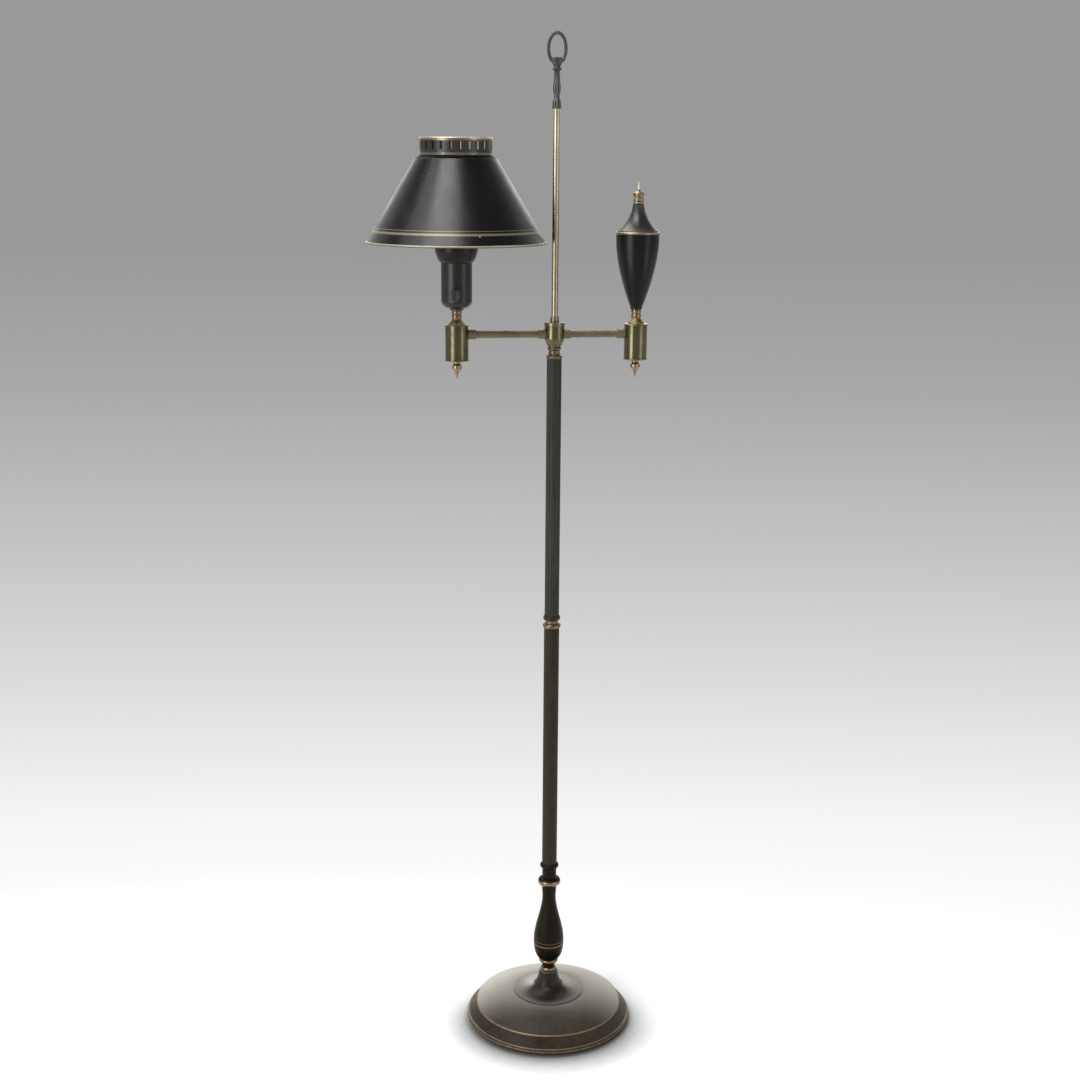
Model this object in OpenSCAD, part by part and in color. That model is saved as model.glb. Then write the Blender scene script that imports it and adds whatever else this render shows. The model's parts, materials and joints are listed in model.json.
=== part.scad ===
// Floor lamp in the manner of an oil-burning student lamp: a weighted base, a fluted column,
// and a swinging pair of arms, one with a shaded socket and the other with a mock oil font.
// Sizes are in millimetres. The origin is on the floor, under the column. The arms lie along X,
// the socket towards -X, and the switch faces -Y.

/* [Base] */
// Radius of the base over its rolled rim
base_r = 127.5; // [118:0.5:138]
// Radius of the bead that is rolled round the rim
rim_bead_r = 4; // [3:0.25:5]
// Gap between the rolled rim and the floor
rim_lift = 1; // [0.5:0.25:1.5]
// Width of the steep skirt inside the rim, seen from above
skirt_w = 11; // [9:0.5:13]
// Height of the shoulder where the skirt meets the dome
shoulder_z = 25; // [22:0.5:29]
// Height of the flat top of the dome
dome_h = 43; // [39:0.5:48]
// Radius of the flat top of the dome
dome_flat_r = 48; // [44:1:52]
// How full the dome is: its height falls as this power of the distance outwards
dome_power = 1.8; // [1.5:0.1:2.2]
// Thickness of the spun sheet of the base, its cone, the socket cover and the glass holder
sheet_t = 1.2; // [0.9:0.1:1.5]
// Thickness of the felt pad
felt_t = 2; // [1.75:0.25:3]
// Thickness of the cast weight at its edge
weight_t = 14; // [10:1:16]
// Radius of the boss in the middle of the weight
weight_boss_r = 30; // [24:1:36]
// Gap between the weight's edge and the shoulder of the base
weight_gap = 5; // [4:0.5:8]
// Room round the washer in the weight's recess
recess_room = 2; // [1:0.1:3]

/* [Cord inlet] */
// Diameter of the hole that the cord passes through
cord_hole_d = 6.4; // [5.5:0.1:7.5]
// Wall of the bushing round that hole
bushing_wall = 1.3; // [1:0.1:1.8]
// Width of the bushing's flange beyond its body
bushing_flange_w = 1.6; // [1:0.1:2]
// Thickness of the bushing's flange
bushing_flange_t = 1.5; // [1:0.1:2]
// Length of the bushing below its flange
bushing_depth = 4.5; // [3.5:0.25:6]

/* [Cone and baluster] */
// Radius of the cone's brim
cone_r = 54.5; // [50:0.5:60]
// Height of the cone
cone_h = 32.5; // [28:0.5:38]
// Radius of the cone's top
cone_top_r = 14.2; // [13:0.1:16]
// Thickness of the brim's edge
brim_t = 1.6; // [1.2:0.1:2.2]
// Height of the spool between the cone and the baluster
spool_h = 22.8; // [19:0.2:26]
// Radius of the spool's lower ring
spool_low_r = 12.1; // [11:0.1:13]
// Height of the spool's lower ring
spool_low_h = 7; // [5.5:0.1:8.5]
// Radius of the spool's groove
spool_groove_r = 9.2; // [8.4:0.1:10]
// Radius of the spool's upper ring
spool_top_r = 15.1; // [14:0.1:17]
// Height of the spool's upper ring
spool_top_h = 9; // [7:0.1:10.5]
// Height of the baluster
baluster_h = 117.5; // [105:0.5:130]
// Radius of the baluster's foot
baluster_foot_r = 14; // [13:0.1:15]
// Radius of the baluster's belly
belly_r = 23.5; // [20:0.1:27]
// Height of the belly above the baluster's foot
belly_z = 29; // [24:0.5:34]
// Radius of the baluster's neck
baluster_neck_r = 10.4; // [9.6:0.1:11.5]
// Height of the neck above the baluster's foot
baluster_neck_z = 106; // [95:0.5:110]
// Radius of the baluster's top
baluster_top_r = 11.2; // [10.4:0.1:12]
// Height of the collar under the column
collar_h = 42; // [38:0.5:48]
// How far the collar's large bead stands out beyond the column
collar_bead_w = 6; // [4.5:0.1:7]
// Height of the collar's large bead
collar_bead_h = 12.6; // [10:0.1:15]
// Height of the middle of that bead above the collar's foot
collar_bead_z = 11.5; // [9.5:0.1:13.5]
// How far the collar's small bead stands out beyond the column
collar_small_bead_w = 2.9; // [2:0.1:4]
// Height of the collar's small bead
collar_small_bead_h = 7.6; // [6:0.1:9]
// Depth of the collar's neck inside the column's radius
collar_neck_w = 0.6; // [0.4:0.1:0.9]

/* [Column] */
// Radius of the lower column tube
lower_r = 11.4; // [10.8:0.1:12.4]
// Length of the lower column tube
lower_len = 380; // [300:1:450]
// Radius of the upper column tube
upper_r = 10.75; // [10.4:0.05:11.6]
// Length of the upper column tube
upper_len = 389.7; // [300:0.1:450]
// Wall of the column tubes
column_wall = 1.5; // [1.3:0.1:1.8]
// Number of flutes round the column
flutes = 16; // [12:1:20]
// Depth of each flute
flute_depth = 0.5; // [0.3:0.05:0.7]
// Radius of the cutter that makes each flute
flute_r = 2; // [1.6:0.1:2.4]
// Length of the plugs that centre the column tubes
spigot_h = 10; // [7:0.5:14]
// Radius of the coupling's flange
coupling_r = 13.3; // [12.6:0.1:14.5]
// Height of the coupling's flange
coupling_flange_h = 6.5; // [5:0.1:8]
// Height of the coupling's waist
coupling_waist_h = 5.5; // [4:0.1:7]
// Height of the black ferrule at the foot of the upper tube
ferrule_h = 7; // [5:0.1:9]
// Wall of that ferrule at its bead
ferrule_w = 1.85; // [1.4:0.05:2.4]
// Height of the cap on top of the column
cap_h = 17; // [15.6:0.1:20]
// Height of the cap's flange, which covers the end of the tube
cap_flange_h = 4.4; // [3.6:0.1:6]
// How far the cap's flange stands out beyond the tube
cap_flange_w = 0.8; // [0.5:0.1:1.4]
// Radius of the cap's waist
cap_waist_r = 8; // [7.4:0.1:8.6]
// Height above the tube at which the hollow above the flange ends in the waist
cap_waist_z = 8; // [7:0.1:9]
// Radius of the ring on top of the cap
cap_ring_r = 9.8; // [9.4:0.1:11]
// Height of that ring
cap_ring_h = 5.4; // [4.4:0.1:6.2]

/* [Centre pipe and nuts] */
// Radius of the threaded pipe that clamps the lamp together
pipe_r = 5.15; // [5:0.05:5.3]
// Radius of the pipe's bore
pipe_bore_r = 3.4; // [3:0.1:3.7]
// Width across the flats of the nuts
nut_flats = 15; // [14:0.1:17]
// Height of the nuts
nut_h = 4; // [3:0.1:5]
// Radius of the washer under the weight
base_washer_r = 13; // [11:0.1:15]
// Thickness of the washers
washer_t = 1; // [0.8:0.1:1.6]
// Radius of the friction washer that the hub turns on
friction_r = 9; // [8:0.1:10]
// Length of pipe that stands out past a nut
pipe_proud = 2; // [1:0.1:3]
// Width of the windows in the pipe, where the leads branch to the arms
window_w = 3.4; // [2.6:0.1:4.2]

/* [Hub and arms] */
// Radius of the hub
hub_r = 14.3; // [13.4:0.1:16]
// Height of the hub's cup
hub_h = 28.4; // [26:0.1:32]
// Radius of the hub's cup at its foot
hub_foot_r = 10.3; // [9.4:0.1:11.4]
// Height of the tapered lower part of the cup
hub_bowl_h = 12; // [11:0.1:13]
// Wall of the hub's cup
hub_wall = 2.6; // [2:0.1:3]
// Thickness of the cup's floor, which turns on the pipe
hub_floor_t = 8; // [6:0.1:9]
// Thickness of the hub's cap
hub_cap_h = 5; // [4:0.1:7]
// How far the cap stands out beyond the cup
hub_cap_lip = 0.4; // [0.2:0.1:1]
// Height of the cap's upright edge
hub_cap_edge_h = 4.2; // [3:0.1:4.6]
// Depth of the plug under the cap
hub_plug_h = 2.6; // [2:0.1:4]
// Radius of the arms
arm_r = 5.15; // [4.8:0.05:5.3]
// Wall of the arms
arm_wall = 1.6; // [1.2:0.1:2]
// Height of the arms above the foot of the hub
arm_rise = 16.6; // [16:0.1:18]
// Distance from the column to the socket
socket_reach = 140; // [135:0.5:170]
// Distance from the column to the oil font
font_reach = 118; // [90:0.5:150]
// Length of the ferrules at the ends of the arms
arm_ferrule_len = 12.4; // [9:0.1:14]
// Wall of those ferrules
arm_ferrule_w = 1.65; // [1.2:0.05:2.2]
// Width of the bevel round their ends
arm_ferrule_bevel = 0.8; // [0.4:0.1:1]
// Length of the arms' ends inside the hub and the canisters
arm_inset = 1.4; // [1:0.1:2]

/* [Canisters] */
// Radius of the canisters
can_r = 16.4; // [15.4:0.1:18]
// Height of the canisters with their caps
can_h = 51.5; // [48:0.1:56]
// Wall of the canisters
can_wall = 1.2; // [0.9:0.1:1.5]
// Distance from the canister's foot up to the arm
can_drop = 37.2; // [34:0.1:39]
// Thickness of the canister's caps
can_cap_t = 2.2; // [1.6:0.1:3]
// How far the caps stand out beyond the canister
can_cap_lip = 1.4; // [0.5:0.1:1.6]
// Depth of the plugs under the caps
can_plug_h = 3; // [2:0.1:4]
// Height of the turned neck on each canister
neck_h = 20.5; // [18:0.1:24]
// Radius of the neck's foot
neck_foot_r = 12; // [9.5:0.1:13]
// Height of the upright edge of the neck's foot
neck_foot_h = 1; // [0.8:0.1:2]
// Height at which the neck's cone ends
neck_cone_h = 7.4; // [6.4:0.1:8.4]
// Radius of the neck's two beads
neck_bead_r = 7.3; // [7.1:0.1:8]
// Height of each bead
neck_bead_h = 4.4; // [3.6:0.1:5]
// Height of the plain band above each bead
neck_land_h = 1.1; // [0.6:0.1:1.6]
// Radius of the neck's waist
neck_waist_r = 6.6; // [6.2:0.1:7]
// Radius of the ball under each canister
drop_ball_r = 7.1; // [6:0.1:8]
// Radius of the stem above the ball
drop_stem_r = 4.7; // [4.2:0.1:5.2]
// Length of the stem above the ball
drop_stem_h = 4; // [3:0.1:6]
// Length of the spike below the ball
drop_spike_h = 9.5; // [7:0.1:13]
// Radius of the spike's root
drop_spike_r = 2.8; // [1.8:0.1:3.4]
// Radius of the spike's tip
drop_tip_r = 0.9; // [0.6:0.1:1.3]
// Radius of the stud that holds the drop to its cap
drop_stud_r = 3; // [2.6:0.1:3.2]

/* [Oil font] */
// Largest radius of the font
font_r = 30.6; // [27:0.1:34]
// Height of the font's body
font_h = 106; // [95:0.5:118]
// Height of the straight part at the top of the body
font_band_h = 9; // [6:0.1:12]
// Radius of the font's foot
font_foot_r = 8.4; // [7.8:0.1:9.4]
// Height of the font's foot
font_foot_h = 3; // [2:0.1:4]
// How the body narrows: its radius falls as this power of the distance downwards
font_power = 1.66; // [1.4:0.02:2]
// Wall of the font's spun sheet
font_wall = 1; // [0.8:0.1:1.3]
// Height of the rounded ring on the font's shoulder
font_ring_h = 3.6; // [2.8:0.1:4.6]
// How far that ring stands out beyond the font
font_ring_w = 1.5; // [0.3:0.1:2]
// Height of the trumpet-shaped lid
font_lid_h = 38.5; // [33:0.5:45]
// Radius of the lid's top
font_lid_top_r = 7.8; // [7.2:0.1:8.8]
// Height of the finial's turned body
font_knob_h = 19; // [16:0.1:22]
// Radius of the finial's turned body
font_knob_r = 8; // [7.4:0.1:9]
// Radius of the grooves in the finial's turned body
font_knob_groove_r = 6.7; // [6.2:0.1:7.2]
// Height of the finial's foot ring
font_knob_foot_h = 3; // [2.4:0.1:4]
// Height of the sunk band above the foot ring
font_knob_band_h = 1.5; // [1:0.1:2]
// Height of the finial's crown
font_knob_crown_h = 5.4; // [4.4:0.1:6.4]
// Height of the spike on the finial
font_spike_h = 11; // [8:0.1:14]
// Radius of the spike's root
font_spike_r = 2; // [1.5:0.1:2.6]
// Radius of the spike's tip
font_tip_r = 0.95; // [0.6:0.05:1.4]

/* [Socket and switch] */
// Radius of the socket cover
cover_r = 21.9; // [21:0.1:24]
// Height of the socket cover
cover_h = 66.5; // [63:0.5:72]
// Radius of the cover's foot
cover_foot_r = 9.75; // [9.2:0.05:11]
// Height of the cover's foot
cover_foot_h = 2.5; // [1.5:0.1:3.5]
// Height of the rounded lower part of the cover
cover_round_h = 11; // [9:0.1:13]
// Thickness of the cover's floor
cover_floor_t = 4; // [3.2:0.1:5]
// Radius of the switch block
block_r = 17; // [16.6:0.1:18]
// Height of the switch block
block_h = 28; // [26:0.1:30]
// Inner radius of the screw shell
screw_shell_r = 13.4; // [13.3:0.05:13.6]
// Wall of the screw shell
screw_shell_t = 0.6; // [0.4:0.05:0.8]
// Length of the screw shell
screw_shell_h = 34; // [30:0.5:37]
// Wall of the fibre liner
liner_t = 0.8; // [0.6:0.05:1]
// Height of the contact in the socket
contact_h = 4; // [3:0.1:5]
// Radius of the contact in the socket
contact_r = 4.5; // [3.5:0.1:5.5]
// Radius of the hole in the screw shell's floor
screw_shell_hole_r = 6.7; // [6:0.1:8]
// Turn of the socket away from square to the arms, in degrees
socket_turn = -8; // [-20:1:20]
// Height of the switch's stem above the foot of the switch block
stem_rise = 15; // [12:0.1:17]
// Radius of the switch's stem
stem_r = 2; // [1.75:0.05:2.25]
// Depth of the stem in the switch block
stem_depth = 10; // [7:0.1:11]
// Room round the stem where it passes the cover
stem_room = 0.6; // [0.4:0.05:1]
// Height of the switch's knob
knob_h = 19.6; // [16:0.1:22]
// Width of the switch's knob
knob_w = 13.2; // [10:0.1:15]
// Length of the switch's knob
knob_len = 11; // [8:0.1:14]
// Depth of the stem's end in the knob
knob_seat = 5; // [3:0.1:7]

/* [Glass and bulb] */
// Radius of the holder that the glass bowl stands in
holder_r = 30.2; // [29:0.1:31]
// Height of the holder
holder_h = 23.5; // [21:0.1:26]
// Height of the rounded lower part of the holder
holder_round_h = 16.6; // [14:0.1:17.6]
// Height of the ring that clamps the holder
clamp_ring_h = 5; // [4:0.1:6]
// Wall of the clamping ring
clamp_ring_w = 3.6; // [2.6:0.1:4.2]
// Room round the bowl's neck in the holder
bowl_room = 0.3; // [0.2:0.05:0.5]
// Height of the bowl above the holder
bowl_h = 48.5; // [44:0.5:54]
// Wall of the glass bowl
bowl_t = 3; // [2.4:0.1:3.4]
// Radius of the bulb
bulb_r = 30; // [27:0.1:31]
// Height of the bulb with its cap
bulb_h = 106; // [100:0.5:110]
// Radius of the bulb's cap
bulb_cap_r = 13; // [12.8:0.05:13.1]
// Height of the bulb's cap
bulb_cap_h = 25; // [23:0.5:27]
// Height of the insulator at the foot of the cap
bulb_foot_h = 5; // [4:0.1:6]
// Wall of the bulb's glass
bulb_t = 0.9; // [0.7:0.1:1.1]

/* [Shade] */
// Radius of the shade's lower rim
shade_r = 127; // [118:0.5:132]
// Radius of the shade's cone at its top
shade_top_r = 57.4; // [54:0.2:61]
// Height of the shade's cone
shade_h = 116; // [108:0.5:124]
// Thickness of the shade's sheet
shade_t = 0.8; // [0.6:0.1:1.1]
// How far the shade's rim hangs below the rim of the glass bowl
shade_drop = 46; // [42:0.5:50]
// Radius of the bead rolled round the shade's rim
shade_bead_r = 1.6; // [1.2:0.1:2]
// Radius of the wire ring that carries the shade on the bowl
seat_wire_r = 1.6; // [1.3:0.1:1.8]
// Radius of the gallery on top of the shade
gallery_r = 50.4; // [47:0.2:53]
// Height of the gallery's flared foot
gallery_flare_h = 7.5; // [6:0.1:10]
// Height of the gallery's pierced wall
gallery_wall_h = 19.5; // [17:0.1:23]
// Radius of the bead on the gallery's top
gallery_bead_r = 1.2; // [0.9:0.1:1.6]
// Number of slots round the gallery
slots = 24; // [18:1:28]
// Width of each slot
slot_w = 3.9; // [3:0.1:5]
// Height of each slot
slot_h = 11; // [9:0.1:12]
// Height of the slots above the foot of the gallery's wall
slot_z = 4.8; // [3.5:0.1:5.5]
// Turn of the first slot from the X axis
slot_turn = 1.5; // [0:0.5:15]

/* [Rod and ring finial] */
// Radius of the brass rod
rod_r = 4.75; // [4.4:0.05:4.9]
// Length of the rod
rod_len = 298.5; // [250:0.5:340]
// Height of the collar that joins the rod to the pipe
rod_collar_h = 8.5; // [7.5:0.1:11]
// Wall of that collar at its foot
rod_collar_w = 1.3; // [1.1:0.1:1.8]
// Height of the collar's plain foot
rod_collar_foot_h = 2.6; // [2:0.1:3.6]
// Wall of the collar at its top
rod_collar_top_w = 0.8; // [0.6:0.1:1.1]
// Depth of the rod's seat in the collar
rod_seat_h = 4.6; // [3.6:0.1:5.5]
// Depth of the rod's seat in the finial
finial_seat_h = 8; // [6:0.1:9]
// Height of the finial's turned stem
stem_h = 57; // [53.5:0.5:64]
// Radius of the cup at the foot of the finial's stem
finial_cup_r = 6.4; // [5.8:0.1:6.6]
// Height of that cup
finial_cup_h = 11; // [10:0.1:12]
// Radius of the stem's two waists
finial_waist_r = 3.9; // [3.2:0.05:4.5]
// Height of the lower waist
finial_waist_z = 15; // [14:0.1:17]
// Radius of the stem's swelling
finial_swell_r = 5.5; // [4.8:0.1:6.2]
// Height of the swelling's middle
finial_swell_z = 28; // [24:0.1:32]
// Radius of the bead under the ring
finial_bead_r = 6.6; // [5:0.1:7]
// Height of the bead under the ring
finial_bead_h = 4; // [3:0.1:5]
// Half the width of the finial's ring
ring_half_w = 14.6; // [12:0.1:16]
// Half the height of the finial's ring
ring_half_h = 23.2; // [21:0.1:27]
// Width of the ring's band
ring_band = 4.4; // [3.6:0.1:5]
// Height of the solid wedge at the ring's foot
ring_foot_h = 11.4; // [9:0.1:14]
// Thickness of the ring
ring_t = 6; // [5:0.1:7]
// Number of leaves round the ring
leaves = 26; // [18:1:32]
// How far each leaf stands out
leaf_rise = 0.7; // [0.4:0.05:1]

/* [Fits] */
// Clearance round pieces that are fixed together
slip = 0.05; // [0.02:0.01:0.08]
// Clearance round pieces that turn
run = 0.05; // [0.02:0.01:0.08]
// Gap between flat faces that turn against each other
face_gap = 0.1; // [0.05:0.05:0.2]
// Gap between pieces that are lifted apart
lift_gap = 0.3; // [0.2:0.05:0.5]

/* [Hidden] */
$fn = 96;
steps = 14;
cut = 1;

// Radii that follow from the sizes above
shoulder_r = base_r - rim_bead_r - skirt_w;
rim_r = base_r - rim_bead_r;
rim_z = rim_lift + rim_bead_r;
weight_r = shoulder_r - weight_gap;
pipe_hole_r = pipe_r + slip;
pipe_turn_r = pipe_r + run;
nut_r = nut_flats / 2 / cos(30);
lower_bore_r = lower_r - column_wall;
upper_bore_r = upper_r - column_wall;
coupling_waist_r = upper_bore_r - slip;
hub_bore_r = hub_r - hub_wall;
can_bore_r = can_r - can_wall;
cover_bore_r = cover_r - sheet_t;
liner_r = block_r;
holder_hole_r = liner_r + slip;
bowl_neck_r = holder_r - sheet_t - bowl_room;
shade_slope = (shade_r - shade_top_r) / shade_h;
shade_side_t = shade_t * sqrt(1 + shade_slope * shade_slope);

// Heights above the floor, from the base up
z_boss = dome_h - sheet_t;
z_recess = felt_t + pipe_proud * 2 + nut_h + washer_t;
z_base_nut = z_recess - washer_t - nut_h;
z_pipe_foot = z_base_nut - pipe_proud;
z_spool = dome_h + cone_h;
z_baluster = z_spool + spool_h;
z_collar = z_baluster + baluster_h;
z_lower = z_collar + collar_h;
z_coupling = z_lower + lower_len;
z_ferrule = z_coupling + coupling_flange_h + coupling_waist_h;
z_upper = z_ferrule + sheet_t;
z_cap = z_upper + upper_len;
z_friction = z_cap + cap_h;
z_hub = z_friction + washer_t + face_gap;
z_hub_cap = z_hub + hub_h;
z_rod_collar = z_hub_cap + hub_cap_h + face_gap;
z_rod = z_rod_collar + rod_collar_h - rod_seat_h;
z_finial = z_rod + rod_len - finial_seat_h;
z_ring = z_finial + stem_h + ring_half_h;
z_arm = z_hub + arm_rise;
z_can = z_arm - can_drop;
z_can_top = z_can + can_h;
z_neck_top = z_can_top + neck_h;
z_can_nut = z_can_top - can_cap_t - can_plug_h - nut_h;

// Heights above the floor in the socket
z_cover_floor = z_neck_top + cover_floor_t;
z_block = z_cover_floor + nut_h;
z_shell = z_block + block_h;
z_stem = z_block + stem_rise;
z_holder = z_neck_top + cover_h;
z_bowl = z_holder + holder_round_h + sheet_t + lift_gap;
z_flare = z_holder + holder_h + lift_gap;
z_bowl_rim = z_flare + bowl_h;
z_bulb = z_shell + contact_h;
z_shade = z_bowl_rim - shade_drop;
z_seat = z_bowl_rim + lift_gap + seat_wire_r;
z_gallery = z_shade + shade_h;

// Heights above the floor in the oil font
z_font_ring = z_neck_top + font_h;
z_font_lid = z_font_ring + font_ring_h;
z_font_knob = z_font_lid + font_lid_h;

// Colours of the finishes
BLACK = [0.13, 0.13, 0.12];
BRASS = [0.62, 0.53, 0.3];
ROD_BRASS = [0.8, 0.66, 0.38];
COPPER = [0.74, 0.54, 0.38];
BRONZE = [0.26, 0.25, 0.2];
IRON = [0.3, 0.3, 0.3];
STEEL = [0.65, 0.66, 0.67];
CAST = [0.34, 0.36, 0.34];
FELT = [0.2, 0.26, 0.2];
PHENOLIC = [0.2, 0.12, 0.08];
FIBRE = [0.45, 0.36, 0.25];
GLASS = [0.93, 0.93, 0.9];

// Outlines of turned pieces, as lists of [radius, height]

// A bead that swells outwards from radius r by rise, between z - half and z + half
function bead(r, rise, z, half) =
    [for (i = [0:steps]) let (a = -90 + 180 * i / steps) [r + rise * cos(a), z + half * sin(a)]];

// A curve with a start, two handles and an end
function curve(p0, p1, p2, p3) =
    [for (i = [0:steps])
        let (t = i / steps, s = 1 - t)
        p0 * s * s * s + p1 * 3 * s * s * t + p2 * 3 * s * t * t + p3 * t * t * t];

// A smooth step from radius r0 at z0 to radius r1 at z1, level at both ends
function sway(r0, z0, r1, z1) =
    [for (i = [0:steps])
        let (t = i / steps)
        [r0 + (r1 - r0) * (1 - cos(180 * t)) / 2, z0 + (z1 - z0) * t]];

// A quarter of an ellipse from level at [r0, z0] to upright at [r1, z1]
function rounding(r0, z0, r1, z1) =
    [for (i = [0:steps]) let (a = 90 * i / steps) [r0 + (r1 - r0) * sin(a), z1 + (z0 - z1) * cos(a)]];

function reversed(points) = [for (i = [len(points) - 1:-1:0]) points[i]];
function raised(points, dz) = [for (p = points) [p[0], p[1] + dz]];
function last(points) = points[len(points) - 1];

// A solid turned to an outline that runs upwards, with a straight bore
module turned(outline, bore) {
    rotate_extrude()
        polygon(concat([[bore, outline[0][1]]], outline, [[bore, last(outline)[1]]]));
}

// A solid turned to an outline that starts and ends on the axis
module turned_solid(outline) {
    rotate_extrude()
        polygon(concat([[0, outline[0][1]]], outline, [[0, last(outline)[1]]]));
}

// Sheet spun to an outer and an inner outline, both running upwards
module spun(outer, inner) {
    rotate_extrude()
        polygon(concat(outer, reversed(inner)));
}

module tube(r, bore, h) {
    difference() {
        cylinder(r = r, h = h);
        translate([0, 0, -cut]) cylinder(r = bore, h = h + 2 * cut);
    }
}

module hex_nut() {
    difference() {
        cylinder(r = nut_r, h = nut_h, $fn = 6);
        translate([0, 0, -cut]) cylinder(r = pipe_hole_r, h = nut_h + 2 * cut);
    }
}

module at_socket() {
    translate([-socket_reach, 0, 0]) children();
}

module at_font() {
    translate([font_reach, 0, 0]) children();
}

// Base

function dome_z(r) =
    dome_h - (dome_h - shoulder_z) * pow((r - dome_flat_r) / (shoulder_r - dome_flat_r), dome_power);
dome = [for (i = [0:steps])
    let (r = dome_flat_r + (shoulder_r - dome_flat_r) * i / steps) [r, dome_z(r)]];

// The skirt runs on into the rolled bead. The bushing stands square to the skirt's middle, at the back.
skirt_top = [shoulder_r, shoulder_z];
skirt_foot = [rim_r, rim_z + rim_bead_r];
skirt_middle = (skirt_top + skirt_foot) / 2;
skirt_tilt = atan2(skirt_top[1] - skirt_foot[1], skirt_foot[0] - skirt_top[0]);
skirt_end = skirt_foot + (skirt_foot - skirt_top) * rim_bead_r / norm(skirt_foot - skirt_top);
bushing_r = cord_hole_d / 2 + bushing_wall;
bushing_flange_r = bushing_r + bushing_flange_w;
bushing_seat = bushing_flange_r * bushing_flange_r / skirt_middle[0] / 2;
module at_bushing() {
    rotate([0, 0, 90])
        translate([skirt_middle[0], 0, skirt_middle[1]])
            rotate([0, skirt_tilt, 0])
                children();
}

module base_felt() {
    color(FELT)
        cylinder(r = weight_r, h = felt_t);
}

module base_weight() {
    channel_w = cord_hole_d + 2 * bushing_wall;
    recess_r = base_washer_r + recess_room;
    color(IRON)
        difference() {
            union() {
                translate([0, 0, felt_t]) cylinder(r = weight_r, h = weight_t);
                translate([0, 0, felt_t]) cylinder(r = weight_boss_r, h = z_boss - felt_t);
            }
            cylinder(r = pipe_hole_r, h = dome_h);
            translate([0, 0, felt_t - cut]) cylinder(r = recess_r, h = z_recess - felt_t + cut);
            translate([-channel_w / 2, 0, felt_t - cut]) cube([channel_w, base_r, channel_w + cut]);
        }
}

module base_nut() {
    color(STEEL)
        translate([0, 0, z_base_nut]) hex_nut();
}

module base_washer() {
    color(STEEL)
        translate([0, 0, z_recess - washer_t]) tube(base_washer_r, pipe_hole_r, washer_t);
}

module base_shell() {
    upper = concat([[pipe_hole_r, dome_h]], dome, [skirt_end]);
    lower = concat([[pipe_hole_r, z_boss]], raised(dome, -sheet_t), [skirt_end - [sheet_t, sheet_t]]);
    color(BLACK)
        difference() {
            union() {
                spun(upper, lower);
                rotate_extrude() translate([rim_r, rim_z]) circle(r = rim_bead_r);
            }
            at_bushing()
                translate([0, 0, -bushing_depth - cut])
                    cylinder(r = bushing_r + slip, h = bushing_depth + 2 * cut);
        }
}

module cord_bushing() {
    color(BLACK)
        at_bushing()
            difference() {
                union() {
                    translate([0, 0, -bushing_depth])
                        cylinder(r = bushing_r, h = bushing_depth + bushing_seat + bushing_flange_t);
                    translate([0, 0, bushing_seat]) cylinder(r = bushing_flange_r, h = bushing_flange_t);
                }
                translate([0, 0, -bushing_depth - cut])
                    cylinder(d = cord_hole_d, h = bushing_depth + bushing_seat + bushing_flange_t + 2 * cut);
            }
}

// Cone, spool, baluster and collar

// Handles of the cone's curve, as shares of its width and height
cone_handles = [[0.07, 0.42], [0.1, 0.04]];
function cone_curve(foot_r, top_r, foot_z, top_z) =
    let (w = foot_r - top_r, h = top_z - foot_z)
    curve(
        [foot_r, foot_z],
        [top_r + w * cone_handles[1][0], foot_z + h * cone_handles[1][1]],
        [top_r + w * cone_handles[0][0], foot_z + h * cone_handles[0][1]],
        [top_r, top_z]
    );

module base_cone() {
    outer = concat([[cone_r, dome_h]], cone_curve(cone_r, cone_top_r, dome_h + brim_t, z_spool));
    inner = cone_curve(cone_r - brim_t, cone_top_r - sheet_t, dome_h, z_spool - sheet_t);
    color(BLACK)
        spun(
            concat(outer, [[pipe_hole_r, z_spool]]),
            concat(inner, [[pipe_hole_r, z_spool - sheet_t]])
        );
}

module spool() {
    low_half = spool_low_h / 2;
    top_half = spool_top_h / 2;
    outline = concat(
        bead(spool_groove_r, spool_low_r - spool_groove_r, low_half, low_half),
        bead(spool_groove_r, spool_top_r - spool_groove_r, spool_h - top_half, top_half)
    );
    color(COPPER)
        turned(raised(outline, z_spool), pipe_hole_r);
}

module baluster() {
    outline = concat(
        rounding(baluster_foot_r, 0, belly_r, belly_z),
        sway(belly_r, belly_z, baluster_neck_r, baluster_neck_z),
        [[baluster_top_r, baluster_h]]
    );
    color(BLACK)
        turned(raised(outline, z_baluster), pipe_hole_r);
}

module baluster_collar() {
    small_half = collar_small_bead_h / 2;
    core_r = lower_r - collar_neck_w;
    outline = concat(
        [[baluster_top_r, 0]],
        bead(core_r, collar_bead_w + collar_neck_w, collar_bead_z, collar_bead_h / 2),
        bead(core_r, collar_small_bead_w + collar_neck_w, collar_h - small_half, small_half),
        [
            [lower_bore_r - slip, collar_h],
            [lower_bore_r - slip, collar_h + spigot_h]
        ]
    );
    color(BLACK)
        turned(raised(outline, z_collar), pipe_hole_r);
}

// Column

module fluted_tube(r, bore, h) {
    linear_extrude(h)
        difference() {
            circle(r = r);
            circle(r = bore);
            for (i = [0:flutes - 1])
                rotate(360 / flutes * (i + 0.5))
                    translate([r + flute_r - flute_depth, 0])
                        circle(r = flute_r);
        }
}

module lower_column() {
    color(BRONZE)
        translate([0, 0, z_lower]) fluted_tube(lower_r, lower_bore_r, lower_len);
}

module upper_column() {
    color(BRONZE)
        translate([0, 0, z_upper]) fluted_tube(upper_r, upper_bore_r, upper_len);
}

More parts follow.
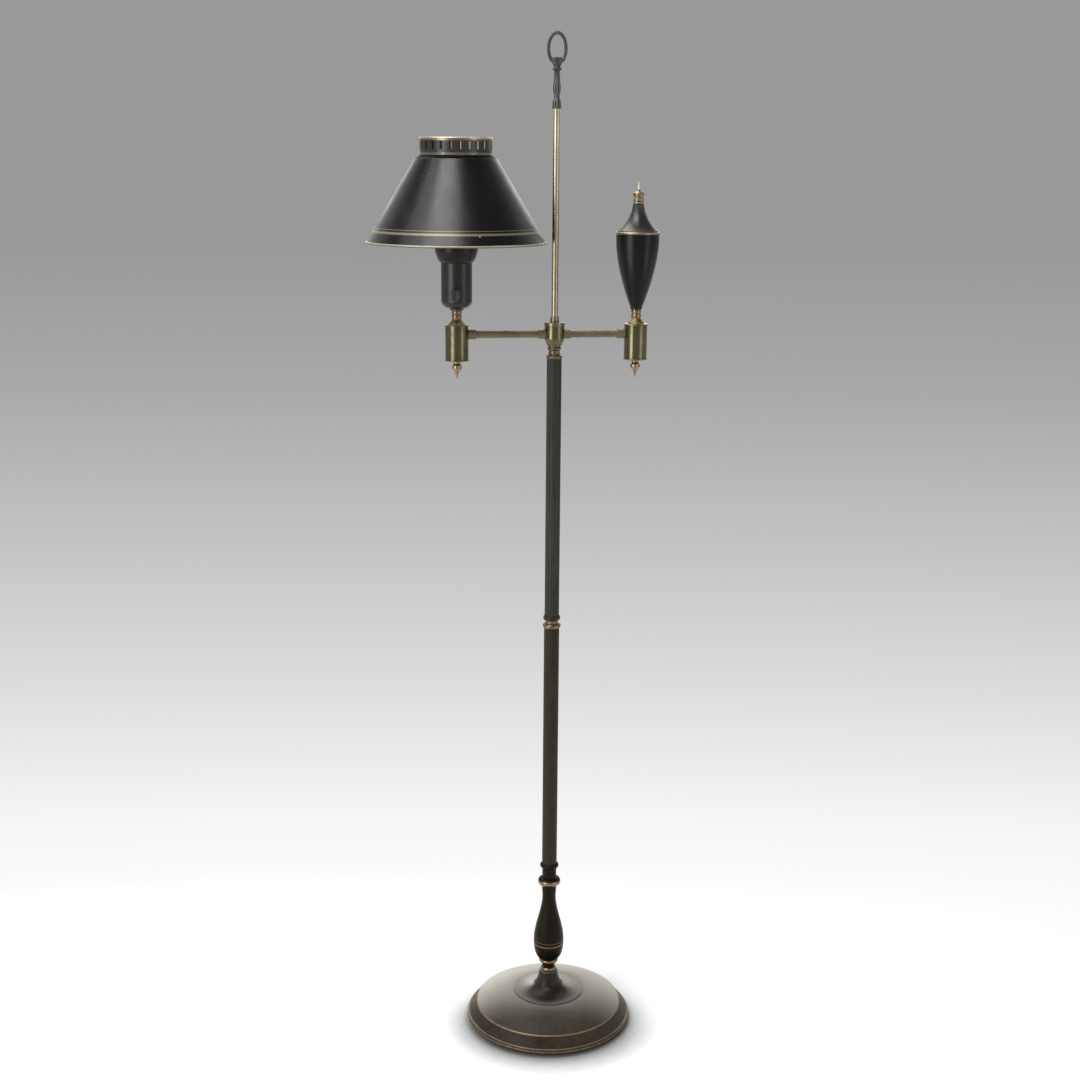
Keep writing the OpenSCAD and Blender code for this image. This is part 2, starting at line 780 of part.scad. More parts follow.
module column_coupling() {
    plug_r = lower_bore_r - slip;
    half = coupling_flange_h / 2;
    outline = concat(
        [[plug_r, -spigot_h], [plug_r, 0]],
        bead(lower_r, coupling_r - lower_r, half, half),
        [
            [coupling_waist_r, coupling_flange_h],
            [coupling_waist_r, z_upper - z_coupling + spigot_h]
        ]
    );
    color(BRASS)
        turned(raised(outline, z_coupling), pipe_hole_r);
}

module column_ferrule() {
    seat_r = upper_r + slip;
    color(BLACK)
        difference() {
            translate([0, 0, z_ferrule])
                turned(bead(seat_r, ferrule_w, ferrule_h / 2, ferrule_h / 2), coupling_waist_r + slip);
            translate([0, 0, z_upper]) cylinder(r = seat_r, h = ferrule_h);
        }
}

module column_cap() {
    plug_r = upper_bore_r - slip;
    flange_half = cap_flange_h / 2;
    ring_half = cap_ring_h / 2;
    outline = concat(
        [[plug_r, -spigot_h], [plug_r, 0]],
        bead(upper_r, cap_flange_w, flange_half, flange_half),
        rounding(upper_r, cap_flange_h, cap_waist_r, cap_waist_z),
        bead(cap_waist_r, cap_ring_r - cap_waist_r, cap_h - ring_half, ring_half)
    );
    color(BRASS)
        turned(raised(outline, z_cap), pipe_hole_r);
}

module friction_washer() {
    color(COPPER)
        translate([0, 0, z_friction]) tube(friction_r, pipe_hole_r, washer_t);
}

// The pipe has windows inside the hub
module centre_pipe() {
    color(STEEL)
        difference() {
            translate([0, 0, z_pipe_foot]) tube(pipe_r, pipe_bore_r, z_rod - z_pipe_foot);
            translate([-window_w / 2, -pipe_r - cut, z_arm - arm_r])
                cube([window_w, 2 * pipe_r + 2 * cut, 2 * arm_r]);
        }
}

// Rod and ring finial

module rod_collar() {
    foot_r = pipe_r + rod_collar_w;
    top_r = rod_r + slip + rod_collar_top_w;
    outline = concat(
        [[foot_r, 0], [foot_r, rod_collar_foot_h]],
        sway(foot_r, rod_collar_foot_h, top_r, rod_collar_h)
    );
    color(BRASS)
        difference() {
            turned(raised(outline, z_rod_collar), rod_r + slip);
            cylinder(r = pipe_hole_r, h = z_rod);
        }
}

module lift_rod() {
    color(ROD_BRASS)
        translate([0, 0, z_rod]) cylinder(r = rod_r, h = rod_len);
}

// An oval of the ring, with a wavy edge where rise is above nought
oval_step = 3;
function oval(half_w, half_h, rise) =
    [for (a = [0:oval_step:360 - oval_step])
        let (wave = rise * abs(sin(a * leaves / 2)))
        [(half_w + wave) * cos(a), (half_h + wave) * sin(a)]];

module ring_finial() {
    waist_r = finial_waist_r;
    bead_half = finial_bead_h / 2;
    bead_z = stem_h - finial_bead_h;
    eye_half_h = ring_half_h - (ring_band + ring_foot_h) / 2;
    eye_rise = (ring_foot_h - ring_band) / 2;
    outline = concat(
        [[finial_cup_r, 0]],
        sway(finial_cup_r, finial_cup_h, waist_r, finial_waist_z),
        sway(waist_r, finial_waist_z, finial_swell_r, finial_swell_z),
        sway(finial_swell_r, finial_swell_z, waist_r, bead_z - bead_half),
        bead(waist_r, finial_bead_r - waist_r, bead_z, bead_half),
        [[waist_r, stem_h + leaf_rise + ring_t / 4]]
    );
    color(CAST)
        difference() {
            union() {
                translate([0, 0, z_finial]) turned_solid(outline);
                translate([0, ring_t / 2, z_ring])
                    rotate([90, 0, 0])
                        linear_extrude(ring_t)
                            difference() {
                                polygon(oval(ring_half_w - leaf_rise, ring_half_h - leaf_rise, leaf_rise));
                                translate([0, eye_rise])
                                    polygon(oval(ring_half_w - ring_band, eye_half_h, 0));
                            }
            }
            translate([0, 0, z_finial - cut]) cylinder(r = rod_r + slip, h = finial_seat_h + cut);
        }
}

// Hub and arms

// The cup swells from its foot in a curve, with handles as shares of its spread and height
hub_handles = [[0.25, 0.3], [1, 0.55]];
module hub_body() {
    spread = hub_r - hub_foot_r;
    outline = concat(
        curve(
            [hub_foot_r, 0],
            [hub_foot_r + spread * hub_handles[0][0], hub_bowl_h * hub_handles[0][1]],
            [hub_foot_r + spread * hub_handles[1][0], hub_bowl_h * hub_handles[1][1]],
            [hub_r, hub_bowl_h]
        ),
        [[hub_r, hub_h]]
    );
    color(BRASS)
        difference() {
            turned(raised(outline, z_hub), pipe_turn_r);
            translate([0, 0, z_hub + hub_floor_t]) cylinder(r = hub_bore_r, h = hub_h);
            translate([0, 0, z_arm])
                rotate([0, 90, 0])
                    cylinder(r = arm_r + slip, h = 2 * (hub_r + cut), center = true);
        }
}

module hub_cap() {
    lip_r = hub_r + hub_cap_lip;
    plug_r = hub_bore_r - slip;
    crown_h = hub_cap_h - hub_cap_edge_h;
    outline = concat(
        [[plug_r, -hub_plug_h], [plug_r, 0], [lip_r, 0]],
        reversed(rounding(lip_r - 2 * crown_h, hub_cap_h, lip_r, hub_cap_edge_h))
    );
    color(BRASS)
        turned(raised(outline, z_hub_cap), pipe_turn_r);
}

// Both arms run outwards along X from inside the hub to just inside a canister
arm_start = hub_bore_r - arm_inset;
module arm(reach) {
    arm_end = reach - can_bore_r + arm_inset;
    translate([arm_start, 0, z_arm])
        rotate([0, 90, 0])
            tube(arm_r, arm_r - arm_wall, arm_end - arm_start);
}

module arm_ferrules(reach) {
    ferrule_r = arm_r + arm_ferrule_w;
    difference() {
        for (x = [hub_r - hub_wall, reach - can_r + can_wall - arm_ferrule_len])
            translate([x, 0, z_arm])
                rotate([0, 90, 0])
                    turned(
                        [
                            [ferrule_r - arm_ferrule_bevel, 0],
                            [ferrule_r, arm_ferrule_bevel],
                            [ferrule_r, arm_ferrule_len - arm_ferrule_bevel],
                            [ferrule_r - arm_ferrule_bevel, arm_ferrule_len],
                        ],
                        arm_r + slip
                    );
        translate([0, 0, z_hub]) cylinder(r = hub_r + slip, h = hub_h);
        translate([reach, 0, z_can]) cylinder(r = can_r + slip, h = can_h);
    }
}

module socket_arm() {
    color(BRASS)
        rotate([0, 0, 180]) arm(socket_reach);
}

module font_arm() {
    color(BRASS)
        arm(font_reach);
}

module socket_arm_ferrules() {
    color(COPPER)
        rotate([0, 0, 180]) arm_ferrules(socket_reach);
}

module font_arm_ferrules() {
    color(COPPER)
        arm_ferrules(font_reach);
}

// Canisters, with their caps, drops and necks. The arm enters from +X.

module canister() {
    color(BRASS)
        difference() {
            translate([0, 0, z_can + can_cap_t]) tube(can_r, can_bore_r, can_h - 2 * can_cap_t);
            translate([0, 0, z_arm]) rotate([0, 90, 0]) cylinder(r = arm_r + slip, h = 2 * can_r);
        }
}

module canister_cap(hole_r) {
    lip_r = can_r + can_cap_lip;
    plug_r = can_bore_r - slip;
    outline = concat(
        rounding(lip_r - can_cap_lip, 0, lip_r, can_cap_lip),
        [[lip_r, can_cap_t], [plug_r, can_cap_t], [plug_r, can_cap_t + can_plug_h]]
    );
    color(BRASS)
        turned(outline, hole_r);
}

module bottom_cap() {
    translate([0, 0, z_can]) canister_cap(drop_stud_r + slip);
}

module top_cap() {
    translate([0, 0, z_can_top]) mirror([0, 0, 1]) canister_cap(pipe_hole_r);
}

// The drop's outline runs upwards from the spike's tip to the stud
module drop() {
    ball_start = -acos(drop_spike_r / drop_ball_r);
    ball_end = acos(drop_stem_r / drop_ball_r);
    ball_z = drop_spike_h - drop_ball_r * sin(ball_start);
    top_z = ball_z + drop_ball_r * sin(ball_end) + drop_stem_h;
    ball = [for (i = [0:steps])
        let (a = ball_start + (ball_end - ball_start) * i / steps)
        [drop_ball_r * cos(a), ball_z + drop_ball_r * sin(a)]];
    outline = concat(
        [[drop_tip_r, 0]],
        ball,
        [[drop_stem_r, top_z], [drop_stud_r, top_z], [drop_stud_r, top_z + can_cap_t + can_plug_h]]
    );
    color(COPPER)
        translate([0, 0, z_can - top_z]) turned_solid(outline);
}

module neck() {
    half = neck_bead_h / 2;
    rise = neck_bead_r - neck_waist_r;
    top_bead_z = neck_h - neck_land_h - half;
    low_bead_z = top_bead_z - neck_land_h - neck_bead_h;
    outline = concat(
        [[neck_foot_r, 0], [neck_foot_r, neck_foot_h], [neck_waist_r, neck_cone_h]],
        bead(neck_waist_r, rise, low_bead_z, half),
        bead(neck_waist_r, rise, top_bead_z, half),
        [[neck_waist_r, neck_h]]
    );
    color(COPPER)
        translate([0, 0, z_can_top]) turned(outline, pipe_hole_r);
}

module socket_canister() {
    at_socket() canister();
}

module socket_top_cap() {
    at_socket() top_cap();
}

module socket_bottom_cap() {
    at_socket() bottom_cap();
}

module socket_drop() {
    at_socket() drop();
}

module socket_neck() {
    at_socket() neck();
}

module font_canister() {
    at_font() mirror([1, 0, 0]) canister();
}

module font_top_cap() {
    at_font() top_cap();
}

module font_bottom_cap() {
    at_font() bottom_cap();
}

module font_drop() {
    at_font() drop();
}

module font_neck() {
    at_font() neck();
}

// Pipes through the necks, and the nuts on them

module socket_pipe() {
    foot_z = z_can_nut - pipe_proud;
    color(STEEL)
        at_socket()
            translate([0, 0, foot_z]) tube(pipe_r, pipe_bore_r, z_block + nut_h - foot_z);
}

module font_pipe() {
    foot_z = z_can_nut - pipe_proud;
    color(STEEL)
        at_font()
            translate([0, 0, foot_z]) tube(pipe_r, pipe_bore_r, z_font_knob + nut_h - foot_z);
}

module lock_nuts() {
    color(STEEL) {
        at_socket() translate([0, 0, z_can_nut]) hex_nut();
        at_socket() translate([0, 0, z_cover_floor]) hex_nut();
        at_font() translate([0, 0, z_can_nut]) hex_nut();
    }
}

// Oil font

font_swell_h = font_h - font_foot_h - font_band_h;
function font_side(r, foot_r) =
    [for (i = [0:steps])
        let (t = i / steps)
        [r - (r - foot_r) * pow(1 - t, font_power), font_foot_h + font_swell_h * t]];

module font_body() {
    outer = concat(
        [[font_foot_r, 0]],
        font_side(font_r, font_foot_r),
        [[font_r, font_h]]
    );
    inner = concat(
        [[pipe_hole_r, 0], [pipe_hole_r, font_foot_h]],
        font_side(font_r - font_wall, font_foot_r - font_wall),
        [[font_r - font_wall, font_h]]
    );
    color(BLACK)
        at_font() translate([0, 0, z_neck_top]) spun(outer, inner);
}

module font_ring() {
    half = font_ring_h / 2;
    core_r = font_r + font_ring_w - half;
    color(COPPER)
        at_font()
            translate([0, 0, z_font_ring]) turned(bead(core_r, half, half, half), font_r - font_ring_h);
}

// Handles of the lid's curve, as shares of its width and height
lid_handles = [[0.1, 0.6], [0.5, 0.22]];
function lid_curve(foot_r, top_r, foot_z, top_z) =
    let (w = foot_r - top_r, h = top_z - foot_z)
    curve(
        [foot_r, foot_z],
        [top_r + w * lid_handles[1][0], foot_z + h * lid_handles[1][1]],
        [top_r + w * lid_handles[0][0], foot_z + h * lid_handles[0][1]],
        [top_r, top_z]
    );

module font_lid() {
    lid_r = font_r - font_wall;
    outer = concat(
        [[lid_r, 0]],
        lid_curve(lid_r, font_lid_top_r, font_wall, font_lid_h),
        [[pipe_hole_r, font_lid_h]]
    );
    inner = concat(
        lid_curve(lid_r - font_wall * 2, font_lid_top_r - font_wall, 0, font_lid_h - font_wall * 2),
        [[pipe_hole_r, font_lid_h - font_wall * 2]]
    );
    color(BLACK)
        at_font() translate([0, 0, z_font_lid]) spun(outer, inner);
}

module font_finial() {
    groove_r = font_knob_groove_r;
    rise = font_knob_r - groove_r;
    foot_half = font_knob_foot_h / 2;
    crown_half = font_knob_crown_h / 2;
    crown_z = font_knob_h - font_knob_foot_h - crown_half;
    outline = concat(
        bead(groove_r, rise, foot_half, foot_half),
        sway(font_knob_r, font_knob_foot_h + font_knob_band_h, groove_r, crown_z - crown_half),
        bead(groove_r, rise, crown_z, crown_half),
        [[font_spike_r, font_knob_h], [font_tip_r, font_knob_h + font_spike_h]]
    );
    color(BRASS)
        at_font()
            difference() {
                translate([0, 0, z_font_knob]) turned_solid(outline);
                translate([0, 0, z_font_knob - cut]) cylinder(r = pipe_hole_r, h = nut_h + 2 * cut);
            }
}

// Socket and switch

module at_switch() {
    at_socket()
        rotate([0, 0, socket_turn])
            translate([0, 0, z_stem])
                rotate([90, 0, 0])
                    children();
}

module socket_cover() {
    round_top = cover_foot_h + cover_round_h;
    outer = concat(
        [[cover_foot_r, 0]],
        rounding(cover_foot_r, cover_foot_h, cover_r, round_top),
        [[cover_r, cover_h]]
    );
    inner = concat(
        [[pipe_hole_r, 0], [pipe_hole_r, cover_floor_t]],
        rounding(nut_r + sheet_t, cover_floor_t, cover_bore_r, round_top + sheet_t),
        [[cover_bore_r, cover_h]]
    );
    color(BLACK)
        difference() {
            at_socket() translate([0, 0, z_neck_top]) spun(outer, inner);
            at_switch() cylinder(r = stem_r + stem_room, h = cover_r + cut);
        }
}

stem_start = block_r - stem_depth;
module switch_block() {
    color(PHENOLIC)
        difference() {
            at_socket()
                difference() {
                    translate([0, 0, z_block]) cylinder(r = block_r, h = block_h);
                    translate([0, 0, z_block - cut]) cylinder(r = pipe_hole_r, h = nut_h + lift_gap + cut);
                }
            at_switch() translate([0, 0, stem_start - lift_gap]) cylinder(r = stem_r + run, h = block_r);
        }
}

module socket_liner() {
    color(FIBRE)
        at_socket()
            translate([0, 0, z_shell]) tube(liner_r, liner_r - liner_t, screw_shell_h + liner_t);
}

module screw_shell() {
    color(BRASS)
        at_socket()
            translate([0, 0, z_shell])
                difference() {
                    cylinder(r = screw_shell_r + screw_shell_t, h = screw_shell_h);
                    translate([0, 0, screw_shell_t]) cylinder(r = screw_shell_r, h = screw_shell_h);
                    translate([0, 0, -cut]) cylinder(r = screw_shell_hole_r, h = screw_shell_t + 2 * cut);
                }
}

module centre_contact() {
    color(BRASS)
        at_socket()
            translate([0, 0, z_shell]) cylinder(r = contact_r, h = contact_h);
}

module switch_stem() {
    stem_end = cover_r + stem_room + knob_seat;
    color(BRASS)
        at_switch()
            translate([0, 0, stem_start]) cylinder(r = stem_r, h = stem_end - stem_start);
}

module switch_knob() {
    end_r = knob_w / 2;
    end_z = (knob_h - knob_w) / 2;
    color(BLACK)
        at_switch()
            translate([0, 0, cover_r + stem_room])
                difference() {
                    linear_extrude(knob_len)
                        union() {
                            translate([0, end_z]) circle(r = end_r);
                            translate([0, -end_z]) circle(r = end_r);
                            square([knob_w, 2 * end_z], center = true);
                        }
                    translate([0, 0, -cut])
                        cylinder(r = stem_r + slip, h = knob_seat + cut);
                }
}

// Holder, bulb and glass bowl

// A bowl whose side grows steeper from level at [r0, z0] to [r1, z1]
function swell(r0, z0, r1, z1) =
    curve([r0, z0], [r0 + (r1 - r0) / 3, z0], [r1 - (r1 - r0) / 3, z0 + (z1 - z0) / 3], [r1, z1]);

module glass_holder() {
    outer = concat(
        [[holder_hole_r, 0]],
        swell(cover_r, 0, holder_r, holder_round_h),
        [[holder_r, holder_h]]
    );
    inner = concat(
        [[holder_hole_r, sheet_t]],
        swell(cover_r, sheet_t, holder_r - sheet_t, holder_round_h + sheet_t),
        [[holder_r - sheet_t, holder_h]]
    );
    color(BLACK)
        at_socket() translate([0, 0, z_holder]) spun(outer, inner);
}

module clamp_ring() {
    color(PHENOLIC)
        at_socket()
            translate([0, 0, z_holder + sheet_t])
                tube(holder_hole_r + clamp_ring_w, holder_hole_r, clamp_ring_h);
}

module bulb_cap() {
    color(STEEL)
        at_socket()
            translate([0, 0, z_bulb])
                turned_solid([
                    [contact_r, 0],
                    [bulb_cap_r, bulb_foot_h],
                    [bulb_cap_r, bulb_cap_h]
                ]);
}

// Length of the handles of the bulb's curve, as a share of its radius
bulb_handle = 0.7;
function bulb_side(r, foot_r, foot_z) =
    concat(
        curve(
            [foot_r, foot_z],
            [foot_r, foot_z + bulb_r * bulb_handle],
            [r, bulb_h - bulb_r - bulb_r * bulb_handle],
            [r, bulb_h - bulb_r]
        ),
        [for (i = [1:steps])
            let (a = 90 * i / steps)
            [r * cos(a), bulb_h - bulb_r + r * sin(a)]]
    );

module bulb_glass() {
    color(GLASS)
        at_socket()
            translate([0, 0, z_bulb])
                spun(
                    bulb_side(bulb_r, bulb_cap_r, bulb_cap_h),
                    bulb_side(bulb_r - bulb_t, bulb_cap_r - bulb_t, bulb_cap_h)
                );
}

// Inside of the shade's cone at a height, and the bowl's rim, which the shade's wire ring rests on
function shade_inside(z) = shade_r - shade_side_t - shade_slope * (z - z_shade);
seat_r = shade_inside(z_seat) - seat_wire_r * sqrt(1 + shade_slope * shade_slope) - slip;
bowl_rim_r = seat_r + bowl_t / 3;

// Handles of the bowl's curve, as shares of its width and height
bowl_handles = [0.5, 0.6];
function bowl_side(neck_r, rim_r, neck_z, flare_z) =
    concat(
        [[neck_r, neck_z]],
        curve(
            [neck_r, flare_z],
            [neck_r + (rim_r - neck_r) * bowl_handles[0], flare_z],
            [rim_r, z_bowl_rim - bowl_h * bowl_handles[1]],
            [rim_r, z_bowl_rim]
        )
    );

module glass_bowl() {
    color(GLASS)
        at_socket()
            spun(
                bowl_side(bowl_neck_r, bowl_rim_r, z_bowl, z_flare),
                bowl_side(bowl_neck_r - bowl_t, bowl_rim_r - bowl_t, z_bowl, z_flare + bowl_t)
            );
}

// Shade

module shade_cone() {
    foot = shade_bead_r;
    foot_r = shade_r - shade_slope * foot;
    color(BLACK)
        at_socket()
            translate([0, 0, z_shade])
                rotate_extrude()
                    union() {
                        polygon([
                            [foot_r, foot],
                            [shade_top_r, shade_h],
                            [shade_top_r - shade_side_t, shade_h],
                            [foot_r - shade_side_t, foot]
                        ]);
                        translate([shade_r - shade_bead_r, foot]) circle(r = shade_bead_r);
                    }
}

// Handles of the gallery's flare, as shares of its height
flare_handles = [0.2, 0.6];
module shade_gallery() {
    wall = concat(
        curve(
            [shade_top_r, 0],
            [gallery_r, gallery_flare_h * flare_handles[0]],
            [gallery_r, gallery_flare_h * flare_handles[1]],
            [gallery_r, gallery_flare_h]
        ),
        [[gallery_r, gallery_flare_h + gallery_wall_h]]
    );
    inner_wall = [for (p = wall) [p[0] - shade_side_t, p[1]]];
    color(BLACK)
        at_socket()
            translate([0, 0, z_gallery])
                difference() {
                    rotate_extrude()
                        union() {
                            polygon(concat(wall, reversed(inner_wall)));
                            translate([gallery_r - shade_side_t / 2, gallery_flare_h + gallery_wall_h])
                                circle(r = gallery_bead_r);
                        }
                    for (i = [0:slots - 1])
                        rotate([0, 0, 360 / slots * i + slot_turn])
                            translate([gallery_r / 2, -slot_w / 2, gallery_flare_h + slot_z])
                                cube([gallery_r, slot_w, slot_h]);
                }
}

module shade_seat_ring() {
    color(STEEL)
        at_socket()
            translate([0, 0, z_seat])
                rotate_extrude()
                    translate([seat_r, 0]) circle(r = seat_wire_r);
}

base_felt();
base_weight();
base_nut();
base_washer();
base_shell();
cord_bushing();
base_cone();
spool();
baluster();
baluster_collar();
lower_column();
column_coupling();
column_ferrule();
upper_column();
column_cap();
friction_washer();
centre_pipe();
rod_collar();
lift_rod();
ring_finial();
hub_body();
hub_cap();
socket_arm();
font_arm();
socket_arm_ferrules();
font_arm_ferrules();
socket_canister();
socket_top_cap();
socket_bottom_cap();
socket_drop();
socket_neck();
font_canister();
font_top_cap();
font_bottom_cap();
font_drop();
font_neck();
socket_pipe();
font_pipe();
lock_nuts();
font_body();
font_ring();
font_lid();
font_finial();
socket_cover();
switch_block();
socket_liner();
screw_shell();
centre_contact();
glass_holder();
clamp_ring();
bulb_cap();
bulb_glass();
glass_bowl();
switch_stem();
switch_knob();
shade_cone();
shade_gallery();
shade_seat_ring();
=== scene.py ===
import json
from math import atan2, cos, degrees, hypot, pi, radians, sin

import bpy
from mathutils import Matrix, Vector

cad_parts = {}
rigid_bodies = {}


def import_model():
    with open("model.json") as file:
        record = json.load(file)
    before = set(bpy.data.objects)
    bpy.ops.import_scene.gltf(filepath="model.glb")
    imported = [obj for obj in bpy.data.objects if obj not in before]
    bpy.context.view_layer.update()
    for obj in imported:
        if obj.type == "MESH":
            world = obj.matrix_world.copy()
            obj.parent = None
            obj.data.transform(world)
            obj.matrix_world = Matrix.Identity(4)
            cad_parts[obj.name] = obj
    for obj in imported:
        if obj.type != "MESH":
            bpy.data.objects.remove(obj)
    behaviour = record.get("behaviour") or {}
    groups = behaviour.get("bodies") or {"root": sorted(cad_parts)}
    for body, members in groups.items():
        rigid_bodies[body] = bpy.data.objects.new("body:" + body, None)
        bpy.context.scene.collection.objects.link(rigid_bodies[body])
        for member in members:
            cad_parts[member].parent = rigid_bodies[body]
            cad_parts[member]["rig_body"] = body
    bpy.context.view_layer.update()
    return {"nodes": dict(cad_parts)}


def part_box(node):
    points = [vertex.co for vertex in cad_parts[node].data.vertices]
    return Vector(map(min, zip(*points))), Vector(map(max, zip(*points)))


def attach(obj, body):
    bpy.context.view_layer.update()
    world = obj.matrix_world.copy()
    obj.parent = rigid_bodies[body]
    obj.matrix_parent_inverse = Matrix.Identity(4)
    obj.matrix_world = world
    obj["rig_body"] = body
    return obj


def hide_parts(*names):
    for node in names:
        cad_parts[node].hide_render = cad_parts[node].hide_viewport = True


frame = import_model()
nodes = frame["nodes"]


# Felt pad
# A disc of green wool felt glued under the cast weight, so that the lamp can be
# slid without scratching. Its fibres lie every way and stand up in a soft nap.

def srgb(red, green, blue):
    """A colour as it looks on a screen, 0 to 255, as the linear colour that a shader takes."""
    levels = [channel / 255 for channel in (red, green, blue)]
    return *[s / 12.92 if s <= 0.04045 else ((s + 0.055) / 1.055) ** 2.4 for s in levels], 1.0


def add(tree, kind, inputs=None, **settings):
    """Adds a shader node. An input that is another node's output is linked, and any other is set."""
    made = tree.nodes.new("ShaderNode" + kind)
    for name, value in settings.items():
        setattr(made, name, value)
    for name, value in (inputs or {}).items():
        if isinstance(value, bpy.types.NodeSocket):
            tree.links.new(value, made.inputs[name])
        else:
            made.inputs[name].default_value = value
    return made


def maths(tree, operation, *values):
    return add(tree, "Math", dict(enumerate(values)), operation=operation).outputs[0]


def times(tree, first, second):
    return maths(tree, "MULTIPLY", first, second)


def line(tree, value, slope, start):
    """A value times a slope, on top of a start."""
    return maths(tree, "MULTIPLY_ADD", value, slope, start)


def ramp(tree, value, low, high, start=0.0, end=1.0):
    """A smooth step from start to end while a value goes from low to high."""
    limits = {"Value": value, "From Min": low, "From Max": high, "To Min": start, "To Max": end}
    return add(tree, "MapRange", limits, interpolation_type="SMOOTHSTEP").outputs["Result"]


def toned(tree, share, first, second):
    """The first colour, giving way to the second by a share."""
    return add(tree, "Mix", {0: share, 6: first, 7: second}, data_type="RGBA").outputs[2]


def place_on(tree):
    """The place on the lamp, in metres from its origin."""
    return add(tree, "TexCoord").outputs["Object"]


def grain(tree, place, scale, detail=3.0, roughness=0.55):
    sizes = {"Vector": place, "Scale": scale, "Detail": detail, "Roughness": roughness}
    return add(tree, "TexNoise", sizes).outputs["Fac"]


def new_finish(name, **values):
    """A material, its tree and its shader, with the values that are the same all over set on it."""
    made = bpy.data.materials.new(name)
    made.use_nodes = True
    shader = made.node_tree.nodes["Principled BSDF"]
    for socket, value in values.items():
        shader.inputs[socket.replace("_", " ")].default_value = value
    return made, made.node_tree, shader


def wire(tree, shader, height=None, depth=0.0002, strength=0.4, **sockets):
    """Links values that change over the surface to the shader, and a height through a bump."""
    for socket, value in sockets.items():
        tree.links.new(value, shader.inputs[socket.replace("_", " ")])
    if height is not None:
        bump = add(tree, "Bump", {"Height": height, "Distance": depth, "Strength": strength})
        tree.links.new(bump.outputs["Normal"], shader.inputs["Normal"])


def dress(finish, *names):
    """Gives CAD nodes, which keep their own shapes, a finish."""
    for name in names:
        for slot in nodes[name].material_slots:
            slot.material = finish


felt, tree, shader = new_finish("green_felt", Roughness=0.96, Sheen_Weight=0.35, Sheen_Roughness=0.6)
place = place_on(tree)
fibres = grain(tree, place, 1400.0, 6.0, 0.75)
nap = grain(tree, place, 45.0, 4.0)
pile = line(tree, nap, 0.6, times(tree, fibres, 0.6))
wire(
    tree, shader, height=fibres, depth=0.0004, strength=0.7,
    Base_Color=toned(tree, ramp(tree, pile, 0.4, 0.8), srgb(38, 50, 38), srgb(78, 92, 74)),
)
dress(felt, "base_felt")


# Weight, nut and washers
# A grey iron casting fills the base. A nut and washer under it pull the threaded pipe tight,
# and so clamp base, baluster and column together. All small steel fittings are zinc-plated.

cast_iron, tree, shader = new_finish("cast_iron", Metallic=0.6)
place = place_on(tree)
sand = grain(tree, place, 520.0, 5.0, 0.7)
rust = ramp(tree, grain(tree, place, 30.0, 5.0), 0.52, 0.7)
wire(
    tree, shader, height=sand, depth=0.0006, strength=0.8,
    Base_Color=toned(tree, rust, srgb(70, 70, 70), srgb(96, 66, 46)),
    Roughness=ramp(tree, sand, 0.3, 0.7, 0.55, 0.85),
)
dress(cast_iron, "base_weight")

zinc, tree, shader = new_finish("zinc_plate", Metallic=1.0)
place = place_on(tree)
spangle = add(tree, "TexVoronoi", {"Vector": place, "Scale": 260.0}).outputs["Color"]
dull = grain(tree, place, 120.0, 4.0)
wire(
    tree, shader, height=grain(tree, place, 900.0), depth=0.0001, strength=0.3,
    Base_Color=toned(tree, ramp(tree, dull, 0.4, 0.7), srgb(178, 180, 182), srgb(140, 140, 138)),
    Roughness=line(tree, spangle, 0.12, 0.32),
)
dress(zinc, "base_nut", "base_washer", "centre_pipe", "socket_pipe", "font_pipe", "lock_nuts")
dress(zinc, "shade_seat_ring")


# Base shell
# A steel disc spun into a dome with a steep skirt and a rim rolled round a wire. It is
# sprayed black, lined in gilt on the shoulder and rim, and rubbed brown along its edges.

MM = 0.001
TINY, SAME_POINT = 1e-6, 1e-4
SHARP_TURN, CORNER_STEPS, CORNER_SHARE = radians(22), 4, 0.45
LONG_FLAT, FLAT_GUARD = 6, 2.5
EDGE_SCALE = 0.7


def shares(count):
    return [i / count for i in range(count + 1)]


def turns_round(count):
    return [2 * pi * k / count for k in range(count)]


def arc(r, z, radius, start, end, count=12):
    """Points on a circle of the outline, between two angles in degrees."""
    turns = [radians(start + (end - start) * t) for t in shares(count)]
    return [(r + radius * cos(a), z + radius * sin(a)) for a in turns]


def bead(r, swell, z, half, count=14):
    """A bead that swells out from radius r, between z - half and z + half."""
    return [(r + swell * c, z + half * s) for c, s in arc(0, 0, 1, -90, 90, count)]


def sway(r0, z0, r1, z1, count=30):
    """A smooth step from one radius to another, upright at both ends."""
    return [(r0 + (r1 - r0) * (1 - cos(pi * t)) / 2, z0 + (z1 - z0) * t) for t in shares(count)]


def rounding(r0, z0, r1, z1, count=14):
    """A quarter of an ellipse, level at the start and upright at the end."""
    return [(r0 + (r1 - r0) * sin(pi / 2 * t), z1 + (z0 - z1) * cos(pi / 2 * t)) for t in shares(count)]


def curve(*points, count=26):
    """A curve with a start, two handles and an end."""
    weights = [((1 - t) ** 3, 3 * t * (1 - t) ** 2, 3 * t * t * (1 - t), t ** 3) for t in shares(count)]
    return [tuple(sum(w * p[k] for w, p in zip(ws, points)) for k in (0, 1)) for ws in weights]


def steps_at(outline, i):
    """The step of an outline into its point i, and the step out of it."""
    (r0, z0), (r, z), (r1, z1) = (outline[k % len(outline)][:2] for k in (i - 1, i, i + 1))
    return Vector((r - r0, z - z0)), Vector((r1 - r, z1 - z))


